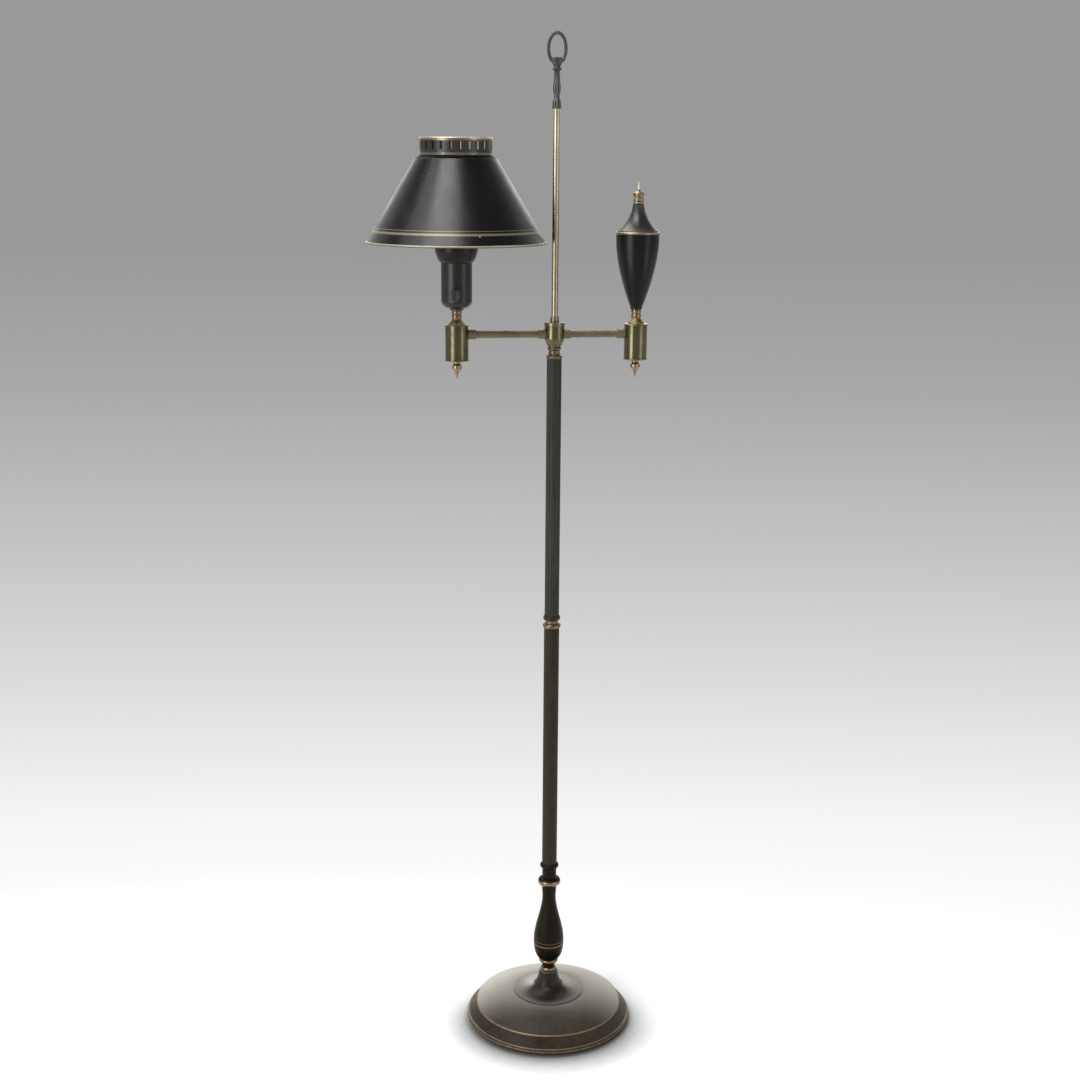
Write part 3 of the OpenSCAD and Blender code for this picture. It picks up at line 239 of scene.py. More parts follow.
def eased(outline, ease):
    """Rounds the sharp corners of an outline of (radius, height, finish), and keeps long flats flat."""
    made = []
    for i, (r, z, finish) in enumerate(outline):
        into, out = steps_at(outline, i)
        if r < TINY or into.length < TINY or out.length < TINY or into.angle(out) < SHARP_TURN:
            made.append((r, z, finish))
            continue
        corner, earlier = Vector((r, z)), outline[i - 1][2]
        start = corner - into.normalized() * min(ease, into.length * CORNER_SHARE)
        end = corner + out.normalized() * min(ease, out.length * CORNER_SHARE)
        if into.length > LONG_FLAT * ease:
            made.append((*(corner - into.normalized() * FLAT_GUARD * ease), earlier))
        for t in shares(CORNER_STEPS):
            point = start * (1 - t) ** 2 + corner * 2 * t * (1 - t) + end * t * t
            made.append((*point, earlier if t < 0.5 else finish))
        if out.length > LONG_FLAT * ease:
            made.append((*(corner + out.normalized() * FLAT_GUARD * ease), finish))
    return made


def stand_for(node, name, verts, faces, finishes, marks=None, smooth=None, **kept):
    """A piece made of a mesh that stands for a CAD node and rides on its body.

    marks are the faces' finishes, and kept are values at its vertices that a finish reads.
    """
    mesh = bpy.data.meshes.new(name)
    mesh.from_pydata(verts, [], faces)
    for setting, values in (("material_index", marks), ("use_smooth", smooth)):
        if values:
            mesh.polygons.foreach_set(setting, values)
    for label, values in kept.items():
        mesh.attributes.new(label, "FLOAT", "POINT").data.foreach_set("value", values)
    for finish in finishes:
        mesh.materials.append(finish)
    mesh.update()
    piece = bpy.data.objects.new(mesh.name, mesh)
    bpy.context.scene.collection.objects.link(piece)
    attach(piece, nodes[node]["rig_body"])
    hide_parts(node)


def turned(node, stretches, *finishes, lift=None, ease=0.4, around=96, name=None):
    """A turned or spun piece that stands for a CAD node.

    stretches are (finish number, points) that run counterclockwise round the section, in mm above
    the node's foot. Each vertex keeps how sharp the outline is there, as edge or as cavity.
    """
    low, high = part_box(node)
    axis = Vector([round(c / MM, 1) * MM for c in (low + high) / 2])
    foot = low.z / MM if lift is None else lift
    outline = []
    for finish, points in stretches:
        for r, z in points:
            if outline and hypot(outline[-1][0] - r, outline[-1][1] - z) <= SAME_POINT:
                outline.pop()
            outline.append((r, z, finish))
    outline = eased(outline, ease)
    solid = outline[0][0] < TINY and outline[-1][0] < TINY
    rows, verts, edges, cavities = [], [], [], []
    for i, (r, z, finish) in enumerate(outline):
        into, out = steps_at(outline, i)
        bend = EDGE_SCALE * atan2(into.x * out.y - into.y * out.x, into.dot(out))
        bend /= max((into.length + out.length) / 2, TINY)
        count = 1 if r < TINY else around
        rows.append(range(len(verts), len(verts) + count))
        edges += [min(1.0, max(0.0, bend))] * count
        cavities += [min(1.0, max(0.0, -bend))] * count
        for turn in turns_round(around)[:count]:
            verts.append((axis.x + r * MM * cos(turn), axis.y + r * MM * sin(turn), (foot + z) * MM))
    faces, marks = [], []
    for i in range(len(outline) - (1 if solid else 0)):
        here, there = rows[i], rows[(i + 1) % len(outline)]
        for k in range(around):
            n = (k + 1) % around
            face = [here[k % len(here)], here[n % len(here)], there[n % len(there)], there[k % len(there)]]
            faces.append(list(dict.fromkeys(face)))
            marks.append(outline[i][2])
    stand_for(
        node, name or node + "_turned", verts, faces, finishes, marks, [True] * len(faces),
        edge=edges, cavity=cavities,
    )


def new_group(name, inputs, outputs):
    """A shader node group: its tree, what comes into it and what goes out of it."""
    group = bpy.data.node_groups.new(name, "ShaderNodeTree")
    for label, kind in inputs.items():
        group.interface.new_socket(label, in_out="INPUT", socket_type="NodeSocket" + kind)
    for label, kind in outputs.items():
        group.interface.new_socket(label, in_out="OUTPUT", socket_type="NodeSocket" + kind)
    return group, group.nodes.new("NodeGroupInput").outputs, group.nodes.new("NodeGroupOutput").inputs


def put_out(group, result, **values):
    for label, value in values.items():
        group.links.new(value, result[label])


def attribute(tree, name):
    return add(tree, "Attribute", attribute_name=name).outputs["Fac"]


def scaled(tree, colour, factor):
    return add(tree, "VectorMath", {0: colour, "Scale": factor}, operation="SCALE").outputs[0]


def drawn_up(tree, place, share):
    """A place whose height counts for a share only, so that grain there runs in upright streaks."""
    return add(tree, "Mapping", {"Vector": place, "Scale": (1, 1, share)}).outputs[0]


# Sprayed lacquer: uneven sheen, wiped smears, rubbed edges, a few chips and dust on what faces up
lacquer_coat, given, result = new_group(
    "lacquer_coat",
    {
        "Paint": "Color", "Under": "Color", "Wear": "Float", "Chips": "Float", "Dust": "Float",
        "Gloss": "Float", "Mottle": "Float",
    },
    {"Color": "Color", "Roughness": "Float", "Metallic": "Float", "Height": "Float", "Level": "Float"},
)
tree = lacquer_coat
place = place_on(tree)
cloud = grain(tree, place, 13.0, 5.0, 0.6)
wiped = grain(tree, drawn_up(tree, place, 0.22), 75.0, 5.0, 0.65)
peel = grain(tree, place, 620.0, 2.0, 0.5)
blotch = ramp(tree, grain(tree, place, 120.0, 7.0, 0.75), 0.3, 0.7, -0.5, 0.5)
blotch = times(tree, blotch, given["Mottle"])
nicks = grain(tree, place, 210.0, 6.0, 0.72)
rubbed = times(tree, attribute(tree, "edge"), given["Wear"])
worn = ramp(tree, times(tree, rubbed, line(tree, nicks, 1.5, 0.1)), 0.4, 0.66)
halo = ramp(tree, times(tree, rubbed, line(tree, cloud, 1.0, 0.4)), 0.05, 0.6)
cells = add(tree, "TexVoronoi", {"Vector": place, "Scale": 48.0, "Randomness": 1.0})
lucky = add(tree, "SeparateColor", {0: cells.outputs["Color"]}).outputs
size = line(tree, lucky["Green"], 0.06, 0.02)
picked = maths(tree, "LESS_THAN", lucky["Red"], given["Chips"])
chip = times(tree, picked, maths(tree, "LESS_THAN", cells.outputs["Distance"], size))
up = add(tree, "SeparateXYZ", {0: add(tree, "TexCoord").outputs["Normal"]}).outputs["Z"]
motes = ramp(tree, grain(tree, place, 330.0, 6.0, 0.8), 0.35, 0.75)
settled = times(tree, ramp(tree, up, 0.25, 1.0), line(tree, motes, 0.7, 0.3))
dust = times(tree, settled, given["Dust"])
shading = maths(tree, "ADD", blotch, ramp(tree, cloud, 0.3, 0.7, 0.7, 1.35))
paint = scaled(tree, given["Paint"], shading)
paint = toned(tree, times(tree, halo, 0.55), paint, scaled(tree, given["Under"], 0.35))
paint = toned(tree, worn, paint, given["Under"])
paint = toned(tree, dust, paint, srgb(128, 122, 112))
sheen = line(tree, maths(tree, "SUBTRACT", wiped, 0.5), 0.24, given["Gloss"])
sheen = line(tree, maths(tree, "SUBTRACT", cloud, 0.5), 0.2, sheen)
sheen = line(tree, blotch, 0.05, sheen)
put_out(
    tree, result,
    Color=toned(tree, chip, paint, srgb(186, 180, 166)),
    Roughness=line(tree, dust, 0.5, sheen),
    Metallic=times(tree, worn, 0.85),
    Height=maths(tree, "SUBTRACT", times(tree, peel, 0.5), maths(tree, "MAXIMUM", worn, chip)),
    Level=ramp(tree, up, 0.62, 0.86),
)


def lacquer(
    name, paint, under, wear=0.4, chips=0.0, dust=0.02, gloss=0.3, mottle=0.2, specular=0.42,
    painted_sheen=0.0, sheen_span=(0.24, 0.8),
):
    """A sprayed finish, with the metal or primer that shows where it is rubbed.

    A pale painted sheen, made to look like a haze of fine dust, may lie on its level parts. It hides
    more of the paint the flatter one looks along it, over a span of Layer Weight's facing.
    """
    made, tree, shader = new_finish(name, Specular_IOR_Level=specular)
    values = {"Paint": srgb(*paint), "Under": srgb(*under), "Wear": wear, "Chips": chips}
    values |= {"Dust": dust, "Gloss": gloss, "Mottle": mottle}
    coat = add(tree, "Group", values, node_tree=lacquer_coat).outputs
    colour = coat["Color"]
    # Painted sheen: a pale colour mixed in on level parts, the more the flatter they are seen
    if painted_sheen:
        facing = add(tree, "LayerWeight", {"Blend": 0.5}).outputs["Facing"]
        sheen_veil = times(tree, coat["Level"], ramp(tree, facing, *sheen_span, 0.0, painted_sheen))
        colour = toned(tree, sheen_veil, colour, srgb(204, 199, 188))
    wire(
        tree, shader, height=coat["Height"], depth=0.00012, strength=0.35,
        Base_Color=colour, Roughness=coat["Roughness"], Metallic=coat["Metallic"],
    )
    return made


def gilt(name, gold, ground, rub):
    """A line of gold paint drawn over black, rubbed thin here and there."""
    made, tree, shader = new_finish(name)
    place = place_on(tree)
    thin = ramp(tree, grain(tree, place, 170.0, 6.0, 0.7), 0.62 - rub, 0.82 - rub)
    flake = grain(tree, place, 1300.0, 3.0, 0.6)
    bright = srgb(*gold)
    dim = *[0.75 * channel for channel in bright[:3]], 1.0
    wire(
        tree, shader, height=flake, depth=0.0001, strength=0.3,
        Base_Color=toned(tree, thin, toned(tree, flake, dim, bright), srgb(*ground)),
        Roughness=ramp(tree, flake, 0.3, 0.7, 0.34, 0.5),
        Metallic=line(tree, thin, -0.55, 0.6),
    )
    return made


BASE_R, RIM_BEAD_R, RIM_LIFT = 127.5, 4.0, 1.0
SHOULDER_R, SHOULDER_Z, DOME_Z, DOME_FLAT_R, DOME_POWER = 112.5, 25.0, 43.0, 48.0, 1.8
SHEET, PIPE_HOLE_R = 1.2, 5.2
LINE_ON_SKIRT, LINE_ON_DOME = 1.3, 1.0
RIM_R, RIM_Z = BASE_R - RIM_BEAD_R, RIM_LIFT + RIM_BEAD_R
# Finish, start, end and steps of each band round the rim: bare inside, then black and gilt in turn
RIM_BANDS = (2, 115, 300, 14), (0, 300, 312, 2), (3, 312, 386, 11), (0, 386, 425, 5), (3, 425, 448, 4)


def dome(r):
    share = (r - DOME_FLAT_R) / (SHOULDER_R - DOME_FLAT_R)
    return DOME_Z - (DOME_Z - SHOULDER_Z) * share ** DOME_POWER


dome_rs = [DOME_FLAT_R + (SHOULDER_R - LINE_ON_DOME - DOME_FLAT_R) * t for t in shares(40)]
skirt = (Vector((SHOULDER_R, SHOULDER_Z)) - Vector((RIM_R, RIM_Z + RIM_BEAD_R))).normalized()
line_foot = Vector((SHOULDER_R, SHOULDER_Z)) - skirt * LINE_ON_SKIRT
# The base's lacquer has a strong painted sheen on its level parts
base_lacquer = lacquer(
    "base_lacquer", (46, 40, 31), (150, 122, 92),
    wear=0.95, dust=0.06, gloss=0.42, mottle=0.6, specular=0.14, painted_sheen=0.78,
)
base_gilt = gilt("base_gilt_line", (136, 113, 88), (80, 66, 51), 0.14)
rim_gilt = gilt("base_rim_line", (128, 108, 82), (44, 36, 25), 0.16)
turned(
    "base_shell",
    [
        (2, [(PIPE_HOLE_R, DOME_Z - SHEET)] + [(r, dome(r) - SHEET) for r in dome_rs]),
        (2, [(SHOULDER_R, SHOULDER_Z - SHEET)]),
        *[(finish, arc(RIM_R, RIM_Z, RIM_BEAD_R, *band)) for finish, *band in RIM_BANDS],
        (0, [(RIM_R, RIM_Z + RIM_BEAD_R)]),
        (1, [tuple(line_foot), (SHOULDER_R, SHOULDER_Z)]),
        (0, [(r, dome(r)) for r in reversed(dome_rs)] + [(PIPE_HOLE_R, DOME_Z)]),
    ],
    base_lacquer, base_gilt, cast_iron, rim_gilt, lift=0, ease=0.8, around=224,
)


# Cord bushing
# A black moulded grommet pressed through the back of the skirt. It lines the hole where a
# cord would enter, so that the edge of the sheet can't cut.

black_moulding, tree, shader = new_finish("black_moulding", Specular_IOR_Level=0.45)
place = place_on(tree)
bloom = grain(tree, place, 70.0, 4.0)
wire(
    tree, shader, height=grain(tree, place, 1100.0, 2.0), depth=0.0001, strength=0.25,
    Base_Color=toned(tree, ramp(tree, bloom, 0.35, 0.75), srgb(26, 26, 25), srgb(44, 43, 41)),
    Roughness=ramp(tree, bloom, 0.3, 0.7, 0.36, 0.55),
)
dress(black_moulding, "cord_bushing")


# Base cone
# A trumpet of spun sheet that stands on the dome and carries the column. Its brim is paler along
# the edge, and casts a thin shadow on the dome.

CONE_R, CONE_TOP_R, CONE_H, BRIM = 54.5, 14.2, 32.5, 1.6
CONE_BEND = (0.1, 0.04), (0.07, 0.42)


def trumpet(foot_r, top_r, foot_z, top_z, low_handle, high_handle):
    """The hollow curve of a trumpet, from its mouth up, with handles as shares of width and height."""
    w, h = foot_r - top_r, top_z - foot_z
    return curve(
        (foot_r, foot_z), (top_r + w * low_handle[0], foot_z + h * low_handle[1]),
        (top_r + w * high_handle[0], foot_z + h * high_handle[1]), (top_r, top_z),
    )


# The cone's lacquer has a painted sheen on its brim
cone_lacquer = lacquer(
    "cone_lacquer", (27, 21, 14), (100, 93, 82),
    dust=0.03, gloss=0.4, mottle=0.1, specular=0.26, painted_sheen=0.65, sheen_span=(0.38, 0.66),
)
brim_pale_edge = gilt("brim_pale_line", (112, 105, 94), (50, 47, 41), 0.2)
turned(
    "base_cone",
    [
        (1, [(PIPE_HOLE_R, CONE_H - SHEET)]),
        (1, reversed(trumpet(CONE_R - BRIM, CONE_TOP_R - SHEET, 0, CONE_H - SHEET, *CONE_BEND))),
        (2, [(CONE_R, 0), (CONE_R, BRIM)]),
        (0, trumpet(CONE_R, CONE_TOP_R, BRIM, CONE_H, *CONE_BEND) + [(PIPE_HOLE_R, CONE_H)]),
    ],
    cone_lacquer, cast_iron, brim_pale_edge, ease=0.5, around=160,
)


# Spool
# Two turned rings on one brass bush, copper-plated and rubbed bright, with a dark groove
# between them.

# Metal that is turned on a lathe and has tarnished, most in its grooves and least on its edges
aged_metal, given, result = new_group(
    "aged_metal",
    {"Metal": "Color", "Tarnish": "Color", "Age": "Float", "Gloss": "Float"},
    {"Color": "Color", "Roughness": "Float", "Height": "Float"},
)
tree = aged_metal
place = place_on(tree)
cloud = grain(tree, place, 38.0, 3.0, 0.6)
freckle = grain(tree, place, 420.0, 5.0, 0.7)
along = times(tree, add(tree, "SeparateXYZ", {0: place}).outputs["Z"], 1700.0)
turning = add(tree, "TexNoise", {"W": along, "Scale": 1.0, "Detail": 3.0}, noise_dimensions="1D")
turning = turning.outputs["Fac"]
sunk = times(tree, attribute(tree, "cavity"), 1.3)
proud = attribute(tree, "edge")
spread = line(tree, freckle, 0.08, times(tree, cloud, 0.96))
tarnish = times(tree, ramp(tree, spread, 0.36, 0.74), given["Age"])
tarnish = add(tree, "Math", {0: tarnish, 1: sunk}, operation="ADD", use_clamp=True).outputs[0]
tarnish = times(tree, tarnish, line(tree, proud, -0.6, 1.0))
metal = scaled(tree, given["Metal"], line(tree, turning, 0.06, line(tree, proud, 0.2, 0.97)))
rough = line(tree, tarnish, 0.16, given["Gloss"])
put_out(
    tree, result,
    Color=toned(tree, tarnish, metal, given["Tarnish"]),
    Roughness=line(tree, maths(tree, "SUBTRACT", freckle, 0.5), 0.04, rough),
    Height=line(tree, turning, 0.1, times(tree, cloud, 0.3)),
)


def metal_finish(name, metal, tarnish, age, gloss):
    """Polished metal that has darkened with age."""
    made, tree, shader = new_finish(name, Metallic=1.0)
    values = {"Metal": srgb(*metal), "Tarnish": srgb(*tarnish), "Age": age, "Gloss": gloss}
    aged = add(tree, "Group", values, node_tree=aged_metal).outputs
    wire(
        tree, shader, height=aged["Height"], depth=0.00003, strength=0.05,
        Base_Color=aged["Color"], Roughness=aged["Roughness"],
    )
    return made


SPOOL_R, SPOOL_H = 9.2, 22.8
LOW_RING_SWELL, LOW_RING_HALF, HIGH_RING_SWELL, HIGH_RING_HALF = 2.9, 3.5, 5.9, 4.5
GROOVE = [(SPOOL_R, 7.3), (9.0, 10.4)]
copper = metal_finish("rubbed_copper", (144, 120, 100), (72, 51, 37), age=0.5, gloss=0.26)
dark_groove = lacquer("groove_lacquer", (24, 11, 3), (90, 60, 40), wear=0.3, gloss=0.4, specular=0.06)
turned(
    "spool",
    [
        (1, [(PIPE_HOLE_R, 0)]),
        (0, bead(SPOOL_R, LOW_RING_SWELL, LOW_RING_HALF, LOW_RING_HALF)),
        (1, GROOVE),
        (0, bead(SPOOL_R, HIGH_RING_SWELL, SPOOL_H - HIGH_RING_HALF, HIGH_RING_HALF)),
        (1, [(PIPE_HOLE_R, SPOOL_H)]),
    ],
    copper, dark_groove, ease=0.5,
)


# Baluster and collar
# A turned vase lacquered black, with two gilt lines round its belly. The collar above it has
# a ring that is rubbed to copper on its lower side, and a bead under the column.

BELLY_Z, BELLY_R, FOOT_R = 29.0, 23.5, 14.0
NECK_R, NECK_Z, BALUSTER_TOP_R, BALUSTER_H = 10.4, 106.0, 11.2, 117.5
MAIN_LINE, THIN_LINE = (24.3, 26.5), (30.8, 31.5)


def cut_at(points, *heights):
    """An outline split into stretches at heights, with a point put in at each."""
    made, rest = [], list(points)
    for height in heights:
        k = next(i for i, p in enumerate(rest) if p[1] >= height)
        (r0, z0), (r1, z1) = rest[k - 1], rest[k]
        point = (r0 + (r1 - r0) * (height - z0) / (z1 - z0), height)
        made.append(rest[:k] + [point])
        rest = [point] + rest[k:]
    return made + [rest]


stand_lacquer = lacquer(
    "stand_lacquer", (22, 17, 8), (122, 100, 74), wear=0.3, gloss=0.34, mottle=0.4, specular=0.1,
)
stand_gilt = gilt("stand_gilt_line", (120, 96, 70), (40, 29, 18), 0.12)
vase = rounding(FOOT_R, 0, BELLY_R, BELLY_Z, 30) + sway(BELLY_R, BELLY_Z, NECK_R, NECK_Z, 40)[1:]
vase = cut_at(vase + [(BALUSTER_TOP_R, BALUSTER_H)], *MAIN_LINE, *THIN_LINE)
turned(
    "baluster",
    [
        (0, [(PIPE_HOLE_R, 0)]),
        *[(i % 2, points) for i, points in enumerate(vase)],
        (0, [(PIPE_HOLE_R, BALUSTER_H)]),
    ],
    stand_lacquer, stand_gilt, around=128,
)

COLLAR_R, COLLAR_WAIST_R, COLLAR_H, LOWER_BORE_R = 10.8, 10.9, 52.0, 9.85
COLLAR_RING_FOOT, COLLAR_WAIST, SHOULDER_TOP, COPPER_TOP = 4.6, (19.0, 33.6), 42.0, 14.6
# Swell, middle and half height of the ring and of the bead
COLLAR_RING, COLLAR_BEAD = (6.6, 11.5, 6.3), (3.5, 38.2, 3.8)
copper_side, black_side = cut_at(bead(COLLAR_R, *COLLAR_RING, count=24), COPPER_TOP)
turned(
    "baluster_collar",
    [
        (0, [(PIPE_HOLE_R, 0), (BALUSTER_TOP_R, 0), (COLLAR_R, COLLAR_RING_FOOT)]),
        (1, copper_side),
        (0, black_side + [(COLLAR_WAIST_R, z) for z in COLLAR_WAIST] + bead(COLLAR_R, *COLLAR_BEAD)),
        (0, [(LOWER_BORE_R, SHOULDER_TOP), (LOWER_BORE_R, COLLAR_H), (PIPE_HOLE_R, COLLAR_H)]),
    ],
    stand_lacquer, copper,
)


# Column
# Two fluted tubes in dark bronze paint, worn to a lighter edge along the flutes. A brass
# coupling joins them, with a black ferrule above it, and a brass cap closes the top.

FLUTES = 16


def column_paint(name, hollow, ridge, gloss, specular):
    made, tree, shader = new_finish(name, Specular_IOR_Level=specular)
    place = place_on(tree)
    x, y, z = add(tree, "SeparateXYZ", {0: place}).outputs
    turn = times(tree, maths(tree, "ARCTAN2", y, x), float(FLUTES))
    crest = ramp(tree, maths(tree, "COSINE", turn), -0.2, 0.9)
    streak = grain(tree, drawn_up(tree, place, 0.06), 260.0, 5.0, 0.7)
    cloud = grain(tree, place, 11.0, 5.0, 0.6)
    rubbed = times(tree, crest, ramp(tree, streak, 0.35, 0.7))
    tint = toned(tree, rubbed, srgb(*hollow), srgb(*ridge))
    wire(
        tree, shader, height=streak, depth=0.0001, strength=0.3,
        Base_Color=scaled(tree, tint, ramp(tree, cloud, 0.3, 0.7, 0.75, 1.25)),
        Roughness=line(tree, streak, 0.25, gloss),
        Metallic=times(tree, rubbed, 0.35),
    )
    return made


dress(column_paint("lower_column_paint", (38, 33, 17), (58, 51, 35), 0.3, 0.2), "lower_column")
dress(column_paint("upper_column_paint", (35, 34, 24), (60, 58, 47), 0.3, 0.28), "upper_column")
brass = metal_finish("antique_brass", (112, 107, 81), (58, 53, 34), age=0.6, gloss=0.22)
rose_brass = metal_finish("rose_brass", (130, 116, 98), (66, 54, 43), age=0.6, gloss=0.3)
ferrule_lacquer = lacquer(
    "ferrule_lacquer", (36, 32, 21), (122, 100, 74), dust=0.03, gloss=0.36, mottle=0.3, specular=0.2,
)
UPPER_BORE_R, SPIGOT_H = 9.2, 10.0
COUPLING_R, COUPLING_BEAD, COUPLING_BEAD_TOP, COUPLING_H = 11.4, (1.9, 13.25, 3.25), 16.5, 33.2
turned(
    "column_coupling",
    [
        (0, [(PIPE_HOLE_R, 0), (LOWER_BORE_R, 0), (LOWER_BORE_R, SPIGOT_H)]),
        (0, bead(COUPLING_R, *COUPLING_BEAD)),
        (0, [(UPPER_BORE_R, COUPLING_BEAD_TOP), (UPPER_BORE_R, COUPLING_H), (PIPE_HOLE_R, COUPLING_H)]),
    ],
    rose_brass,
)
FERRULE_R, FERRULE_HOLE_R, FERRULE_BEAD, FERRULE_FLOOR = 10.8, 9.25, (1.85, 3.5, 3.5), 1.2
ferrule = [(FERRULE_HOLE_R, 0)] + bead(FERRULE_R, *FERRULE_BEAD)
ferrule += [(FERRULE_R, FERRULE_FLOOR), (FERRULE_HOLE_R, FERRULE_FLOOR)]
turned("column_ferrule", [(0, ferrule)], ferrule_lacquer)
CAP_FOOT_R, CAP_FOOT_BEAD, CAP_FOOT_TOP = 10.75, (0.8, 12.2, 2.2), 14.4
CAP_NECK_R, CAP_NECK_Z, CAP_RING, CAP_H = 8.0, 18.0, (1.8, 24.3, 2.7), 27.0
turned(
    "column_cap",
    [
        (0, [(PIPE_HOLE_R, 0), (UPPER_BORE_R, 0), (UPPER_BORE_R, SPIGOT_H)]),
        (0, bead(CAP_FOOT_R, *CAP_FOOT_BEAD)),
        (0, rounding(CAP_FOOT_R, CAP_FOOT_TOP, CAP_NECK_R, CAP_NECK_Z)),
        (1, bead(CAP_NECK_R, *CAP_RING) + [(PIPE_HOLE_R, CAP_H)]),
    ],
    rose_brass, brass,
)


# Hub and arms
# A turned brass cup that swings on the pipe, on a thin washer, with a screwed cap. Two
# pipes run out of it, with a ferrule coped to fit at each end.

HUB_R, HUB_H, HUB_BORE_R, HUB_FLOOR = 14.3, 28.4, 11.7, 8.0
HUB_BOWL = (10.3, 0), (11.3, 3.6), (HUB_R, 6.6), (HUB_R, 12)
HUB_CAP_R, HUB_CAP_FLAT_R, HUB_CAP_EDGE, HUB_CAP_H = 14.7, 13.1, 6.8, 7.6
HUB_PLUG_R, HUB_PLUG_H = 11.65, 2.6
arm_brass = metal_finish("arm_brass", (122, 112, 92), (94, 86, 67), age=0.6, gloss=0.46)
dress(copper, "friction_washer")
dress(arm_brass, "socket_arm", "font_arm", "socket_arm_ferrules", "font_arm_ferrules")
turned(
    "hub_body",
    [
        (0, [(PIPE_HOLE_R, 0)] + curve(*HUB_BOWL, count=14)),
        (0, [(HUB_R, HUB_H), (HUB_BORE_R, HUB_H), (HUB_BORE_R, HUB_FLOOR), (PIPE_HOLE_R, HUB_FLOOR)]),
    ],
    brass, ease=0.5,
)
turned(
    "hub_cap",
    [
        (0, [(PIPE_HOLE_R, 0), (HUB_PLUG_R, 0), (HUB_PLUG_R, HUB_PLUG_H)]),
        (0, [(HUB_CAP_R, HUB_PLUG_H), (HUB_CAP_R, HUB_CAP_EDGE)]),
        (0, reversed(rounding(HUB_CAP_FLAT_R, HUB_CAP_H, HUB_CAP_R, HUB_CAP_EDGE))),
        (0, [(PIPE_HOLE_R, HUB_CAP_H)]),
    ],
    rose_brass, ease=0.5,
)


# Canisters
# Short brass tubes that end the arms, closed by turned caps. A copper ball and spike hangs
# from each, and a beaded copper neck with a brass foot on top carries the socket or the font.

CAP_R, CAP_T, CAP_LIP, PLUG_R, PLUG_H, STUD_R = 17.8, 2.2, 1.4, 15.15, 3.0, 3.05
BALL_R, STEM_R, STEM_H, SPIKE_H, SPIKE_R, TIP_R, DROP_STUD_R = 7.1, 4.7, 4.0, 9.5, 2.8, 0.9, 3.0
NECK_FOOT_R, NECK_FOOT_H, NECK_CONE_H, NECK_WAIST_R, NECK_H = 12.0, 1.0, 7.4, 6.6, 20.5
NECK_SWELL, NECK_BEAD_HALF, NECK_BEADS = 0.7, 2.2, (11.7, 17.2)
neck_copper = metal_finish("neck_copper", (140, 119, 91), (70, 53, 37), age=0.4, gloss=0.18)
foot_brass = metal_finish("neck_foot_brass", (138, 122, 92), (92, 76, 52), age=0.4, gloss=0.44)
# Paler brass for the caps' upward faces, a painted highlight on what faces up
cap_top_painted_highlight = metal_finish("cap_top_painted_highlight", (204, 194, 170), (150, 138, 112), age=0.4, gloss=0.3)
drop_copper = metal_finish("drop_copper", (158, 139, 114), (84, 66, 49), age=0.4, gloss=0.26)
cap_h = CAP_T + PLUG_H
low_cap = rounding(CAP_R - CAP_LIP, 0, CAP_R, CAP_LIP)
low_cap += [(CAP_R, CAP_T), (PLUG_R, CAP_T), (PLUG_R, cap_h)]
ball_z = SPIKE_H + (BALL_R ** 2 - SPIKE_R ** 2) ** 0.5
stem_z = ball_z + (BALL_R ** 2 - STEM_R ** 2) ** 0.5
stud_z = stem_z + STEM_H
ball_turns = [degrees(atan2(z - ball_z, r)) for r, z in ((SPIKE_R, SPIKE_H), (STEM_R, stem_z))]
for side in ("socket", "font"):
    dress(brass, side + "_canister")
    turned(side + "_bottom_cap", [(0, [(STUD_R, 0)] + low_cap + [(STUD_R, cap_h)])], brass, ease=0.3)
    turned(
        side + "_top_cap",
        [
            (0, [(PIPE_HOLE_R, 0)] + [(r, cap_h - z) for r, z in reversed(low_cap)]),
            # The cap's flat top takes the paler brass, a painted highlight
            (1, [(CAP_R - CAP_LIP, cap_h), (PIPE_HOLE_R, cap_h)]),
        ],
        brass, cap_top_painted_highlight, ease=0.3,
    )
    turned(
        side + "_drop",
        [
            (0, [(0, 0), (TIP_R, 0)] + arc(0, ball_z, BALL_R, *ball_turns, 22)),
            (0, [(STEM_R, stud_z), (DROP_STUD_R, stud_z)]),
            (0, [(DROP_STUD_R, stud_z + cap_h), (0, stud_z + cap_h)]),
        ],
        drop_copper, around=64,
    )
    turned(
        side + "_neck",
        [
            (1, [(PIPE_HOLE_R, 0), (NECK_FOOT_R, 0)]),
            (1, [(NECK_FOOT_R, NECK_FOOT_H), (NECK_WAIST_R, NECK_CONE_H)]),
            *[(0, bead(NECK_WAIST_R, NECK_SWELL, z, NECK_BEAD_HALF)) for z in NECK_BEADS],
            (0, [(NECK_WAIST_R, NECK_H), (PIPE_HOLE_R, NECK_H)]),
        ],
        neck_copper, foot_brass, ease=0.3, around=80,
    )


# Oil font
# A spun urn that only looks like an oil tank, in black lacquer with a gilt ring on its
# shoulder, a trumpet-shaped lid, and a turned brass finial that screws down on the pipe.

FONT_R, FONT_FOOT_R, FONT_H, FONT_WALL = 30.6, 8.4, 106.0, 1.0
FONT_FOOT_H, URN_H, URN_POWER = 3, 94, 1.66
FONT_RING_R, FONT_RING_BEAD, FONT_RING_HOLE_R, FONT_RING_H = 30.3, (1.8, 1.8, 1.8), 27.0, 3.6
LID_R, LID_TOP_R, LID_H, LID_EDGE, LID_WALL = 29.6, 7.8, 38.5, 1.0, 2.0
LID_BEND = (0.5, 0.22), (0.1, 0.6)
font_lacquer = lacquer("font_lacquer", (7, 8, 7), (118, 104, 82), wear=0.6, gloss=0.29, specular=0.24)
lid_lacquer = lacquer("lid_lacquer", (27, 27, 23), (118, 104, 82), wear=0.6, specular=0.6)
font_gilt = metal_finish("font_gilt", (150, 133, 110), (90, 67, 49), age=0.45, gloss=0.26)
